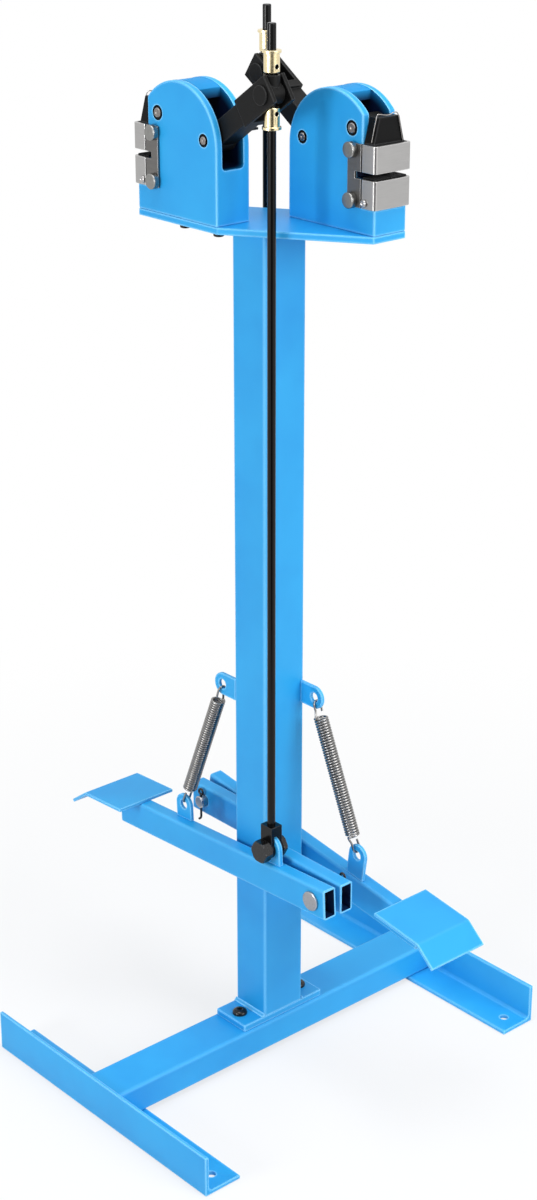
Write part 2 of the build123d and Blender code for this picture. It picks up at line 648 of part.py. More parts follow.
def make_collar(low_z, flange_up):
    """Flanged collar, open for the rod, with a screw hole in its side."""
    with BuildPart(mode=Mode.PRIVATE) as collar:
        flange_z = low_z + COLLAR_HEIGHT - COLLAR_FLANGE if flange_up else low_z
        with Locations((-SIDE_X, ROD_Y, low_z + COLLAR_HEIGHT / 2)):
            Cylinder(COLLAR_DIA / 2, COLLAR_HEIGHT)
        plain_end = collar.edges().filter_by(GeomType.CIRCLE).group_by(Axis.Z)
        chamfer(plain_end[0] if flange_up else plain_end[-1], 1.5)
        with Locations((-SIDE_X, ROD_Y, flange_z + COLLAR_FLANGE / 2)):
            Cylinder(COLLAR_FLANGE_DIA / 2, COLLAR_FLANGE)
        with Locations((-SIDE_X, ROD_Y, low_z + COLLAR_HEIGHT / 2)):
            Cylinder(ROD_DIA / 2, 2 * COLLAR_HEIGHT, mode=Mode.SUBTRACT)
        away = -1 if flange_up else 1
        hole_z = low_z + COLLAR_HEIGHT / 2 + away * COLLAR_HEIGHT * 0.2
        with Locations(Location((-SIDE_X, ROD_Y - COLLAR_DIA / 2, hole_z), (90, 0, 0))):
            Cylinder(COLLAR_SCREW_DIA / 2, COLLAR_DIA * 0.7, mode=Mode.SUBTRACT)
    return collar.part


rod_left = make_rod(LEFT_LEVER_ANGLE)
rod_right = turned(make_rod(RIGHT_LEVER_ANGLE))
yoke_left = make_yoke(LEFT_LEVER_ANGLE)
yoke_right = turned(make_yoke(RIGHT_LEVER_ANGLE))
yoke_bolt_left = make_yoke_bolt(LEFT_LEVER_ANGLE)
yoke_bolt_right = turned(make_yoke_bolt(RIGHT_LEVER_ANGLE))
yoke_nut_left = make_yoke_nut(LEFT_LEVER_ANGLE)
yoke_nut_right = turned(make_yoke_nut(RIGHT_LEVER_ANGLE))

upper_low_z = SWIVEL_Z + SWIVEL_SLEEVE + COLLAR_CLEARANCE
lower_low_z = SWIVEL_Z - SWIVEL_DIA / 2 - COLLAR_CLEARANCE - COLLAR_HEIGHT
with BuildPart() as collars_left:
    add(make_collar(upper_low_z, True))
    add(make_collar(lower_low_z, False))
collars_left = collars_left.part
collars_right = turned(collars_left)


# ================================================================ swivel blocks and handle arms
ARM_REACH = hypot(ROD_Y - HANDLE_PIN_Y, SWIVEL_Z - HANDLE_PIN_Z)
ARM_TURN = atan2(SWIVEL_Z - HANDLE_PIN_Z, HANDLE_PIN_Y - ROD_Y)
SWIVEL_WIDTH = ARM_WIDTH - 2 * ARM_CHEEK - 0.8

with BuildPart() as swivel_left:
    add(cylinder_x(-SIDE_X - SWIVEL_WIDTH / 2, -SIDE_X + SWIVEL_WIDTH / 2, ROD_Y, SWIVEL_Z,
                   SWIVEL_DIA))
    chamfer(swivel_left.edges().filter_by(GeomType.CIRCLE), 0.8)
    with Locations((-SIDE_X, ROD_Y, SWIVEL_Z + SWIVEL_SLEEVE / 2)):
        Cylinder(SWIVEL_SLEEVE_DIA / 2, SWIVEL_SLEEVE)
    with Locations((-SIDE_X, ROD_Y, SWIVEL_Z)):
        Cylinder(SWIVEL_BORE / 2, 2 * SWIVEL_SLEEVE + 2, mode=Mode.SUBTRACT)
    add(cylinder_x(-SIDE_X - SWIVEL_WIDTH, -SIDE_X - SWIVEL_BORE / 2 + 0.5, ROD_Y, SWIVEL_Z,
                   SWIVEL_SCREW_DIA - 1.0), mode=Mode.SUBTRACT)
    add(cylinder_x(-SIDE_X + SWIVEL_BORE / 2 - 0.5, -SIDE_X + SWIVEL_WIDTH, ROD_Y, SWIVEL_Z,
                   SWIVEL_SCREW_DIA - 1.0), mode=Mode.SUBTRACT)
swivel_left = swivel_left.part
swivel_right = turned(swivel_left)

with BuildPart() as swivel_screws_left:
    for side in (-1, 1):
        block_face = -SIDE_X + side * SWIVEL_WIDTH / 2
        outer_face = -SIDE_X + side * (ARM_WIDTH / 2 + 0.2)
        bore_wall = -SIDE_X + side * (SWIVEL_BORE / 2 + 0.6)
        add(cylinder_x(block_face, outer_face, ROD_Y, SWIVEL_Z,
                       SWIVEL_SCREW_DIA - 2 * RUNNING_FIT))
        add(cylinder_x(bore_wall, block_face, ROD_Y, SWIVEL_Z, SWIVEL_SCREW_DIA - 1.0))
        add(cylinder_x(outer_face, outer_face + side * SWIVEL_HEAD, ROD_Y, SWIVEL_Z,
                       SWIVEL_HEAD_DIA))
swivel_screws_left = swivel_screws_left.part
swivel_screws_right = turned(swivel_screws_left)


def arm_plane(x):
    """Sketch plane at x: origin at the swivel, x axis toward the handle pin."""
    return Plane(origin=(x, ROD_Y, SWIVEL_Z), x_dir=(0, cos(ARM_TURN), -sin(ARM_TURN)),
                 z_dir=(1, 0, 0))


with BuildPart() as arm_left:
    # two cheeks that hold the swivel block
    cheek_length = ARM_BEYOND_SWIVEL + ARM_CHEEK_START
    for side in (-1, 1):
        face = -SIDE_X + side * ARM_WIDTH / 2
        with BuildSketch(arm_plane(face)) as cheek:
            with Locations(((ARM_CHEEK_START - ARM_BEYOND_SWIVEL) / 2, 0)):
                Rectangle(cheek_length, ARM_CHEEK_HEIGHT)
            Circle(SWIVEL_SCREW_DIA / 2, mode=Mode.SUBTRACT)
        extrude(cheek.sketch, amount=-side * ARM_CHEEK)
    # web between the cheeks
    with BuildSketch(arm_plane(-SIDE_X - ARM_WIDTH / 2)) as web:
        with Locations((ARM_CHEEK_START - ARM_WEB / 2, 0)):
            Rectangle(ARM_WEB, ARM_CHEEK_HEIGHT)
    extrude(web.sketch, amount=ARM_WIDTH)
    # stem from the web down to the hub on the handle pin
    with BuildSketch(arm_plane(-SIDE_X - ARM_STEM_WIDTH / 2)) as stem:
        with Locations(((ARM_CHEEK_START + ARM_REACH) / 2, 0)):
            Rectangle(ARM_REACH - ARM_CHEEK_START, ARM_STEM_HEIGHT)
        with Locations((ARM_REACH, 0)):
            Circle(ARM_HUB_RADIUS)
    extrude(stem.sketch, amount=ARM_STEM_WIDTH)
    # nose that lifts the rocker
    nose_angle = atan2(ARM_NOSE_Z - HANDLE_PIN_Z, ARM_NOSE_Y - HANDLE_PIN_Y)
    nose_length = hypot(ARM_NOSE_Z - HANDLE_PIN_Z, ARM_NOSE_Y - HANDLE_PIN_Y)
    with BuildSketch(plane_x(-SIDE_X - ARM_NOSE_WIDTH / 2)) as nose:
        with Locations(Location((HANDLE_PIN_Y, HANDLE_PIN_Z), degrees(nose_angle))):
            with Locations((nose_length / 2, 0)):
                Rectangle(nose_length, 2 * ARM_NOSE_RADIUS)
            with Locations((nose_length, 0)):
                Circle(ARM_NOSE_RADIUS)
    extrude(nose.sketch, amount=ARM_NOSE_WIDTH)
    add(cylinder_x(-SIDE_X - ARM_STEM_WIDTH, -SIDE_X + ARM_STEM_WIDTH, HANDLE_PIN_Y,
                   HANDLE_PIN_Z, HANDLE_PIN_DIA + 2 * RUNNING_FIT), mode=Mode.SUBTRACT)
arm_left = arm_left.part
arm_right = turned(arm_left)


# ================================================================ heads
def head_outline():
    """Side view of a head: upright back, round top and a short ledge in front."""
    drop = HEAD_CHEEK_FRONT_Y - HEAD_ARC_Y
    front_top = (HEAD_CHEEK_FRONT_Y, HEAD_ARC_Z + (HEAD_ARC_RADIUS ** 2 - drop ** 2) ** 0.5)
    crown = (HEAD_ARC_Y, HEAD_ARC_Z + HEAD_ARC_RADIUS)
    back_top = (HEAD_BACK_Y, HEAD_ARC_Z)
    with BuildSketch() as outline:
        with BuildLine():
            Polyline(back_top, (HEAD_BACK_Y, HEAD_BASE_Z), (HEAD_FRONT_Y, HEAD_BASE_Z),
                     (HEAD_FRONT_Y, HEAD_LEDGE_Z), (HEAD_CHEEK_FRONT_Y, HEAD_LEDGE_Z), front_top)
            ThreePointArc(front_top, crown, back_top)
        make_face()
    return outline.sketch


with BuildPart() as head_left:
    left_face = -SIDE_X - HEAD_WIDTH / 2
    side_plane = plane_x(left_face)
    with BuildSketch(side_plane):
        add(head_outline())
    extrude(amount=HEAD_WIDTH)
    skin = head_left.edges().filter_by(
        lambda edge: abs(abs(edge.center().X + SIDE_X) - HEAD_WIDTH / 2) < 0.01
        and edge.center().Z > HEAD_BASE_Z + 1)
    fillet(skin, HEAD_EDGE)
    # slot for the handle arm and the rocker, left open at both ends
    slot_top = HEAD_ARC_Z + HEAD_ARC_RADIUS + 5
    with BuildSketch(Plane.XZ.offset(-HEAD_BACK_Y + 5)) as slot:
        with Locations((-SIDE_X, (HEAD_SLOT_FLOOR_Z + slot_top) / 2)):
            RectangleRounded(HEAD_SLOT, slot_top - HEAD_SLOT_FLOOR_Z, HEAD_SLOT_CORNER)
        with Locations((-SIDE_X, slot_top - 5)):
            Rectangle(HEAD_SLOT, 12)
    extrude(slot.sketch, amount=-(HEAD_FRONT_Y + 10), mode=Mode.SUBTRACT)
    # curved bridge between the two cheeks
    with BuildSketch(plane_x(-SIDE_X - HEAD_SLOT / 2 - 1)) as bridge:
        with Locations((HEAD_ARC_Y, HEAD_ARC_Z)):
            Circle(HEAD_ARC_RADIUS - 0.4)
            Circle(HEAD_ARC_RADIUS - BRIDGE_THICKNESS, mode=Mode.SUBTRACT)
        with Locations(((BRIDGE_START_Y + BRIDGE_END_Y) / 2, HEAD_ARC_Z + HEAD_ARC_RADIUS)):
            Rectangle(BRIDGE_END_Y - BRIDGE_START_Y, 60, mode=Mode.INTERSECT)
    extrude(bridge.sketch, amount=HEAD_SLOT + 2)
    # sheet metal throat through both cheeks
    add(box_between((left_face - 5, left_face + HEAD_WIDTH + 5), (THROAT_BACK_Y, HEAD_FRONT_Y + 5),
                    (THROAT_BOTTOM_Z, THROAT_TOP_Z)), mode=Mode.SUBTRACT)
    # pin holes, counterbored outside
    for pin_y, pin_z, pin_dia in ((HANDLE_PIN_Y, HANDLE_PIN_Z, HANDLE_PIN_DIA),
                                  (ROCKER_PIN_Y, ROCKER_PIN_Z, ROCKER_PIN_DIA)):
        add(cylinder_x(left_face - 5, left_face + HEAD_WIDTH + 5, pin_y, pin_z, pin_dia),
            mode=Mode.SUBTRACT)
        for side in (0, 1):
            face = left_face + side * HEAD_WIDTH
            inward = 1 - 2 * side
            add(cylinder_x(face - inward * 2, face + inward * PIN_COUNTERBORE_DEPTH, pin_y, pin_z,
                           pin_dia + 2 * PIN_COUNTERBORE_MARGIN), mode=Mode.SUBTRACT)
    # threaded holes for the strap screws
    for screw_z in STRAP_SCREW_Z:
        add(cylinder_x(left_face - 5, left_face + HEAD_WIDTH + 5, STRAP_SCREW_Y, screw_z,
                       STRAP_SCREW_DIA), mode=Mode.SUBTRACT)
    # threaded holes for the mounting bolts
    for row in HEAD_BOLT_Y:
        for bolt_x in HEAD_BOLT_X:
            with Locations((-bolt_x, row, HEAD_BASE_Z + HEAD_BOLT_DEPTH / 2 - 0.5)):
                Cylinder(HEAD_BOLT_DIA / 2, HEAD_BOLT_DEPTH + 1, mode=Mode.SUBTRACT)
head_left = head_left.part
head_right = turned(head_left)

with BuildPart() as head_bolts:
    for side in (-1, 1):
        for row in HEAD_BOLT_Y:
            for bolt_x in HEAD_BOLT_X:
                place = (side * bolt_x, -side * row)
                shank = TOP_PLATE_THICKNESS + HEAD_BOLT_DEPTH - 3
                with Locations((*place, POST_TOP_Z + shank / 2)):
                    Cylinder(HEAD_BOLT_DIA / 2 - RUNNING_FIT, shank)
                with Locations((*place, POST_TOP_Z - HEAD_BOLT_HEAD / 2)):
                    Cylinder(HEAD_BOLT_HEAD_DIA / 2, HEAD_BOLT_HEAD)
    fillet(head_bolts.edges().filter_by(GeomType.CIRCLE).group_by(Axis.Z)[0], 2.5)


def head_pin(y, z, diameter):
    """Plain pin through both cheeks of the left head."""
    with BuildPart() as pin:
        add(cylinder_x(-SIDE_X - HEAD_WIDTH / 2 - PIN_PROUD, -SIDE_X + HEAD_WIDTH / 2 + PIN_PROUD,
                       y, z, diameter - 0.02))
        chamfer(pin.edges().filter_by(GeomType.CIRCLE), 0.8)
    return pin.part


handle_pins = both_sides(head_pin(HANDLE_PIN_Y, HANDLE_PIN_Z, HANDLE_PIN_DIA))
rocker_pins = both_sides(head_pin(ROCKER_PIN_Y, ROCKER_PIN_Z, ROCKER_PIN_DIA))

with BuildPart() as rocker_left:
    tail_low = ARM_NOSE_Z + ARM_NOSE_RADIUS + CONTACT_GAP
    with BuildSketch(plane_x(-SIDE_X - ROCKER_WIDTH / 2)) as rocker:
        with Locations((ROCKER_PIN_Y, ROCKER_PIN_Z)):
            Circle(ROCKER_HUB_RADIUS)
        with Locations(((ROCKER_TAIL_Y + ROCKER_PIN_Y) / 2, tail_low + ROCKER_TAIL_THICKNESS / 2)):
            Rectangle(ROCKER_PIN_Y - ROCKER_TAIL_Y, ROCKER_TAIL_THICKNESS)
        with Locations(((ROCKER_PIN_Y + ROCKER_NOSE_Y) / 2, ROCKER_NOSE_Z)):
            Rectangle(ROCKER_NOSE_Y - ROCKER_PIN_Y, ROCKER_ARM_HEIGHT)
        with Locations((ROCKER_NOSE_Y, ROCKER_NOSE_Z)):
            Circle(ROCKER_NOSE_RADIUS)
    extrude(rocker.sketch, amount=ROCKER_WIDTH)
    add(cylinder_x(-SIDE_X - ROCKER_HUB_WIDTH / 2, -SIDE_X + ROCKER_HUB_WIDTH / 2,
                   ROCKER_PIN_Y, ROCKER_PIN_Z, 2 * ROCKER_HUB_RADIUS))
    add(cylinder_x(-SIDE_X - ROCKER_HUB_WIDTH, -SIDE_X + ROCKER_HUB_WIDTH,
                   ROCKER_PIN_Y, ROCKER_PIN_Z, ROCKER_PIN_DIA + 2 * RUNNING_FIT),
        mode=Mode.SUBTRACT)
rocker_left = rocker_left.part
rocker_right = turned(rocker_left)


# ================================================================ jaws
JAW_HALF = HEAD_WIDTH / 2 - JAW_CLEARANCE
JAW_BACK_Y = HEAD_CHEEK_FRONT_Y + JAW_CLEARANCE
JAW_FRONT_Y = HEAD_FRONT_Y - JAW_CLEARANCE


def jaw_pair(face_z, body_z):
    """Two jaw blocks side by side with rows of teeth across the gripping face."""
    low, high = min(face_z, body_z), max(face_z, body_z)
    pitch = (JAW_FRONT_Y - JAW_BACK_Y) / JAW_TEETH
    with BuildPart() as pair:
        for side in (-1, 1):
            near = -SIDE_X + side * JAW_SPLIT / 2
            far = -SIDE_X + side * JAW_HALF
            add(box_between((min(near, far), max(near, far)), (JAW_BACK_Y, JAW_FRONT_Y),
                            (low, high)))
        inward = 1 if body_z > face_z else -1
        for step in range(1, JAW_TEETH):
            groove_y = JAW_BACK_Y + step * pitch
            with BuildSketch(plane_x(-SIDE_X - HEAD_WIDTH / 2)) as groove:
                with BuildLine():
                    Polyline((groove_y - JAW_TOOTH_DEPTH, face_z),
                             (groove_y, face_z + inward * JAW_TOOTH_DEPTH),
                             (groove_y + JAW_TOOTH_DEPTH, face_z), close=True)
                make_face()
            extrude(groove.sketch, amount=HEAD_WIDTH, mode=Mode.SUBTRACT)
    return pair.part


jaws_lower = both_sides(jaw_pair(THROAT_BOTTOM_Z, THROAT_BOTTOM_Z - JAW_HEIGHT))
jaws_upper_left = jaw_pair(THROAT_TOP_Z, THROAT_TOP_Z + JAW_HEIGHT)
jaws_upper_right = turned(jaws_upper_left)

with BuildPart() as jaw_seat_left:
    add(box_between((-SIDE_X - JAW_HALF, -SIDE_X + JAW_HALF), (HEAD_CHEEK_FRONT_Y, HEAD_FRONT_Y),
                    (HEAD_LEDGE_Z, THROAT_BOTTOM_Z - JAW_HEIGHT)))
jaw_seats = both_sides(jaw_seat_left.part)

with BuildPart() as jaw_holder_left:
    shoulder_z = STRAP_TOP_Z + 0.5
    with BuildSketch(Plane.XZ.offset(-JAW_BACK_Y)) as holder:
        with BuildLine():
            Polyline((-SIDE_X - HOLDER_BOTTOM_WIDTH / 2, shoulder_z),
                     (-SIDE_X + HOLDER_BOTTOM_WIDTH / 2, shoulder_z),
                     (-SIDE_X + HOLDER_TOP_WIDTH / 2, HOLDER_TOP_Z),
                     (-SIDE_X - HOLDER_TOP_WIDTH / 2, HOLDER_TOP_Z), close=True)
        make_face()
    extrude(holder.sketch, amount=-(HOLDER_FACE_Y - JAW_BACK_Y))
    add(box_between((-SIDE_X - JAW_HALF, -SIDE_X + JAW_HALF), (JAW_BACK_Y, JAW_FRONT_Y),
                    (THROAT_TOP_Z + JAW_HEIGHT, shoulder_z)))
    # pocket for the rocker nose, open toward the cheeks
    pocket = ROCKER_NOSE_RADIUS + HOLDER_POCKET_GAP
    add(box_between((-SIDE_X - ROCKER_WIDTH / 2 - 1, -SIDE_X + ROCKER_WIDTH / 2 + 1),
                    (JAW_BACK_Y - 1, ROCKER_NOSE_Y + pocket),
                    (ROCKER_NOSE_Z - pocket, ROCKER_NOSE_Z + pocket)), mode=Mode.SUBTRACT)
jaw_holder_left = jaw_holder_left.part
jaw_holder_right = turned(jaw_holder_left)

with BuildPart() as jaw_straps_left:
    for side in (-1, 1):
        inner = -SIDE_X + side * HEAD_WIDTH / 2
        with BuildSketch(plane_x(inner)) as strap:
            with Locations(((STRAP_BACK_Y + STRAP_FRONT_Y) / 2, (HEAD_LEDGE_Z + STRAP_TOP_Z) / 2)):
                Rectangle(STRAP_FRONT_Y - STRAP_BACK_Y, STRAP_TOP_Z - HEAD_LEDGE_Z)
            with Locations(((THROAT_BACK_Y + STRAP_FRONT_Y + 5) / 2,
                            (THROAT_BOTTOM_Z + THROAT_TOP_Z) / 2)):
                Rectangle(STRAP_FRONT_Y + 5 - THROAT_BACK_Y, THROAT_TOP_Z - THROAT_BOTTOM_Z,
                          mode=Mode.SUBTRACT)
            for screw_z in STRAP_SCREW_Z:
                with Locations((STRAP_SCREW_Y, screw_z)):
                    Circle(STRAP_SCREW_DIA / 2, mode=Mode.SUBTRACT)
        extrude(strap.sketch, amount=side * STRAP_THICKNESS)
jaw_straps = both_sides(jaw_straps_left.part)


def front_cap(low_z, high_z):
    """Channel-shaped front plate that closes the jaw bay."""
    outer_half = HEAD_WIDTH / 2 + STRAP_THICKNESS
    outer_front = HEAD_FRONT_Y + CAP_THICKNESS
    with BuildPart(mode=Mode.PRIVATE) as cap:
        add(box_between((-SIDE_X - outer_half, -SIDE_X + outer_half),
                        (STRAP_FRONT_Y, outer_front), (low_z, high_z)))
        upright = cap.edges().filter_by(Axis.Z).group_by(Axis.Y)
        fillet(upright[-1], CAP_CORNER)
        chamfer(upright[0], CAP_GROOVE)
        add(box_between((-SIDE_X - HEAD_WIDTH / 2, -SIDE_X + HEAD_WIDTH / 2),
                        (STRAP_FRONT_Y - 1, HEAD_FRONT_Y), (low_z - 1, high_z + 1)),
            mode=Mode.SUBTRACT)
    return cap.part


with BuildPart() as jaw_caps_left:
    add(front_cap(THROAT_TOP_Z, STRAP_TOP_Z))
    add(front_cap(HEAD_LEDGE_Z, THROAT_BOTTOM_Z))
jaw_caps = both_sides(jaw_caps_left.part)

with BuildPart() as strap_screws_left:
    for side in (-1, 1):
        face = -SIDE_X + side * (HEAD_WIDTH / 2 + STRAP_THICKNESS)
        for screw_z in STRAP_SCREW_Z:
            add(cylinder_x(face, face - side * STRAP_SCREW_LENGTH, STRAP_SCREW_Y, screw_z,
                           STRAP_SCREW_DIA - 2 * RUNNING_FIT))
            add(cylinder_x(face, face + side * STRAP_SCREW_HEAD, STRAP_SCREW_Y, screw_z,
                           STRAP_SCREW_HEAD_DIA))
    ends = strap_screws_left.edges().filter_by(GeomType.CIRCLE).group_by(Axis.X)
    fillet(ends[0] + ends[-1], 1.5)
strap_screws = both_sides(strap_screws_left.part)


# ================================================================ return springs
COIL_RADIUS = (SPRING_OUTER - SPRING_WIRE) / 2


def hook_stations():
    """(point, heading) stations from the wire's free end round the hook to the spring's axis.

    They are given across the spring, square to that, and along it from the tab hole.
    """
    top = SPRING_TAB_HOLE / 2 - HOOK_SEAT
    centre = top + HOOK_RADIUS
    side_end = SPRING_TAB_RADIUS - 1.0
    neck_start = HOOK_LENGTH - HOOK_NECK
    return [
        (Vector(-HOOK_RADIUS, 0, centre + HOOK_END), Vector(0, 0, -1)),
        (Vector(-HOOK_RADIUS, 0, centre), Vector(0, 0, -1)),
        (Vector(0, 0, top), Vector(1, 0, 0)),
        (Vector(HOOK_RADIUS, 0, centre), Vector(0, 0, 1)),
        (Vector(HOOK_RADIUS, 0, side_end), Vector(0, 0, 1)),
        (Vector(0, 0, neck_start), Vector(0, 0, 1)),
    ]


def spring_stations(length):
    """Stations of the whole wire: top hook, coils every half turn, bottom hook."""
    top_hook = hook_stations()
    rise = (length - 2 * HOOK_LENGTH) / SPRING_COILS
    coils = []
    for half_turn in range(2 * SPRING_COILS + 1):
        turn = half_turn * pi
        point = Vector(COIL_RADIUS * cos(turn), COIL_RADIUS * sin(turn),
                       HOOK_LENGTH + rise * half_turn / 2)
        heading = Vector(-COIL_RADIUS * sin(turn), COIL_RADIUS * cos(turn), rise / (2 * pi))
        coils.append((point, heading.normalized()))
    bottom_hook = []
    for point, heading in reversed(top_hook):
        bottom_hook.append((Vector(point.X, -point.Y, length - point.Z),
                            Vector(-heading.X, heading.Y, heading.Z)))
    return top_hook + coils + bottom_hook


def biarc_joint(start, start_heading, end, end_heading):
    """Point where two arcs that leave start and reach end on their headings meet."""
    chord = end - start
    both = start_heading + end_heading
    spread = 4 - both.dot(both)
    along = chord.dot(both)
    if spread < 1e-9:
        reach = chord.dot(chord) / (2 * along)
    else:
        reach = (-along + (along ** 2 + spread * chord.dot(chord)) ** 0.5) / spread
    return (start + start_heading * reach + end - end_heading * reach) * 0.5


def make_spring(top_hole, bottom_hole):
    """Extension spring between two tab holes, as one unbroken wire; prints its least gap."""
    span = Vector(*bottom_hole) - Vector(*top_hole)
    frame = Plane(origin=top_hole, x_dir=(1, 0, 0), z_dir=span)
    stations = [
        (frame.from_local_coords(point),
         frame.from_local_coords(point + heading) - frame.from_local_coords(point))
        for point, heading in spring_stations(span.length)
    ]
    with BuildPart() as spring:
        with BuildLine() as wire:
            for (start, heading), (end, end_heading) in zip(stations, stations[1:]):
                if (end - start).normalized().dot(heading) > 0.999999:
                    Line(start, end)
                else:
                    joint = biarc_joint(start, heading, end, end_heading)
                    first = TangentArc(start, joint, tangent=heading)
                    TangentArc(joint, end, tangent=first % 1)
        with BuildSketch(Plane(origin=stations[0][0], z_dir=stations[0][1])):
            Circle(SPRING_WIRE / 2)
        sweep()
    print("spring", round(span.length, 1), "least gap", round(least_gap(wire.edges()), 2))
    return spring.part


def least_gap(edges):
    """Least gap between stretches of one wire, measured on points along it."""
    points = []
    run = 0.0
    for edge in edges:
        steps = max(2, ceil(edge.length / 1.5))
        for step in range(steps):
            points.append((edge @ (step / steps), run + edge.length * step / steps))
        run += edge.length
    least = run
    for index, (point, place) in enumerate(points):
        for other, other_place in points[index + 1:]:
            if other_place - place > 4 * SPRING_WIRE:
                if abs(point.Z - other.Z) < 3 * SPRING_WIRE:
                    least = min(least, (point - other).length)
    return least - SPRING_WIRE


def tab_hole(angle, hole_h):
    """Middle of the hole in a lever's spring tab."""
    return (SPRING_TAB_X + TAB_THICKNESS / 2, *lever_point(SPRING_TAB_S, hole_h, angle))


POST_HOLE = (POST_TAB_X, POST_TAB_HOLE_Y, POST_TAB_HOLE_Z)
spring_left = make_spring(POST_HOLE, tab_hole(LEFT_LEVER_ANGLE, LEFT_TAB_H))
spring_right = turned(make_spring(POST_HOLE, tab_hole(RIGHT_LEVER_ANGLE, RIGHT_TAB_H)))


# ================================================================ one file per sub-part
def write(part, name):
    """Label one finished sub-part and write its file."""
    part.label = name
    export_step(part, f"parts/{name}.step")


write(foot_left.part, "foot_left")
write(foot_right.part, "foot_right")
write(base_beam.part, "base_beam")
write(base_welds.part, "base_welds")
write(post.part, "post")
write(post_base_plate.part, "post_base_plate")
write(base_bolts.part, "base_bolts")
write(base_nuts.part, "base_nuts")
write(top_plate.part, "top_plate")
write(post_tabs, "post_tabs")
write(pivot_stub_left, "pivot_stub_left")
write(pivot_stub_right, "pivot_stub_right")
write(pivot_pins, "pivot_pins")
write(spacers, "pivot_spacers")
write(split_pins, "split_pins")
write(lever_left, "lever_left")
write(lever_right, "lever_right")
write(pedal_left, "pedal_left")
write(pedal_right, "pedal_right")
write(lever_tab_left, "lever_tab_left")
write(lever_tab_right, "lever_tab_right")
write(rod_tab_left, "rod_tab_left")
write(rod_tab_right, "rod_tab_right")
write(rod_left, "rod_left")
write(rod_right, "rod_right")
write(yoke_left, "yoke_left")
write(yoke_right, "yoke_right")
write(yoke_bolt_left, "yoke_bolt_left")
write(yoke_bolt_right, "yoke_bolt_right")
write(yoke_nut_left, "yoke_nut_left")
write(yoke_nut_right, "yoke_nut_right")
write(collars_left, "collars_left")
write(collars_right, "collars_right")
write(swivel_left, "swivel_left")
write(swivel_right, "swivel_right")
write(swivel_screws_left, "swivel_screws_left")
write(swivel_screws_right, "swivel_screws_right")
write(arm_left, "arm_left")
write(arm_right, "arm_right")
write(head_left, "head_left")
write(head_right, "head_right")
write(head_bolts.part, "head_bolts")
write(handle_pins, "handle_pins")
write(rocker_pins, "rocker_pins")
write(rocker_left, "rocker_left")
write(rocker_right, "rocker_right")
write(jaw_holder_left, "jaw_holder_left")
write(jaw_holder_right, "jaw_holder_right")
write(jaws_upper_left, "jaws_upper_left")
write(jaws_upper_right, "jaws_upper_right")
write(jaws_lower, "jaws_lower")
write(jaw_seats, "jaw_seats")
write(jaw_straps, "jaw_straps")
write(jaw_caps, "jaw_caps")
write(strap_screws, "strap_screws")
write(spring_left, "spring_left")
write(spring_right, "spring_right")
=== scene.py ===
# %% [markdown]
# # A shrinker stretcher on its floor stand
#
# This lesson dresses a working CAD model for a picture. The model is loaded as a fixed frame: every
# moving part is already a body with a joint, so each new piece only has to be built where the frame
# says and told which body it rides on. The machine repeats after half a turn about its post, so a
# piece that is built here is made for the left side and turned for the right.

# %% Load the frame
import json
import math

import bmesh
import bpy
from mathutils import Matrix, Vector


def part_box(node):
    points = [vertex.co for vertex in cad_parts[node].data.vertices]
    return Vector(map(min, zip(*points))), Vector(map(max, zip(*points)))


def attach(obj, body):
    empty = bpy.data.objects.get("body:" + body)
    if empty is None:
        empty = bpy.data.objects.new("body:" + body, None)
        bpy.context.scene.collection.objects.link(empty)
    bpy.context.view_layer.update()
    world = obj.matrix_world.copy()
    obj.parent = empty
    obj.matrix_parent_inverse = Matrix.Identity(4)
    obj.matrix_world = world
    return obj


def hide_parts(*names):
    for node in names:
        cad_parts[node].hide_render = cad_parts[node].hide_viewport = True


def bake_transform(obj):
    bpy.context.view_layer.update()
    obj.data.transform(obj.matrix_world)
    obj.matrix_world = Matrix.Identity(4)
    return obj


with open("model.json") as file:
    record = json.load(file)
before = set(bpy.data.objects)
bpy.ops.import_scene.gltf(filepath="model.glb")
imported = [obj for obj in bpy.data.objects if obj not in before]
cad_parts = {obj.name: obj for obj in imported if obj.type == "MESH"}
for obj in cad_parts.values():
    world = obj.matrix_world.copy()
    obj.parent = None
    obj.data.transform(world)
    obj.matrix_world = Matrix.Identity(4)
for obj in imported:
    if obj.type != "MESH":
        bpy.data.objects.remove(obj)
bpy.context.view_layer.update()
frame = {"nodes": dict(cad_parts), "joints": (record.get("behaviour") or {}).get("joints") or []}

# %% [markdown]
# ## Camera
#
# The photograph was taken from the left front and a little above. A camera far away with a long lens
# keeps upright lines nearly parallel, which is how catalogue pictures of tall things are made.

# %% Camera at the photograph's place
MM = 0.001
IMAGE_HEIGHT = 1200
FOCAL_PIXELS = 2203.0
SENSOR = 36.0
CAMERA_AZIMUTH = math.radians(-41.464)
CAMERA_ELEVATION = math.radians(22.283)
CAMERA_DISTANCE = 3125.2
CAMERA_TARGET = Vector((328.6, 373.1, 394.7))

toward_camera = Vector((
    math.sin(CAMERA_AZIMUTH) * math.cos(CAMERA_ELEVATION),
    -math.cos(CAMERA_AZIMUTH) * math.cos(CAMERA_ELEVATION),
    math.sin(CAMERA_ELEVATION)))
camera_data = bpy.data.cameras.new("studio_camera")
camera_data.sensor_fit = "VERTICAL"
camera_data.sensor_height = SENSOR
camera_data.lens = FOCAL_PIXELS / IMAGE_HEIGHT * SENSOR
camera_data.clip_end = 50.0
camera = bpy.data.objects.new("studio_camera", camera_data)
bpy.context.scene.collection.objects.link(camera)
camera.location = (CAMERA_TARGET + toward_camera * CAMERA_DISTANCE) * MM
camera.rotation_euler = toward_camera.to_track_quat("Z", "Y").to_euler()
bpy.context.scene.camera = camera
print("camera at", [round(c, 3) for c in camera.location], "lens", round(camera_data.lens, 1))

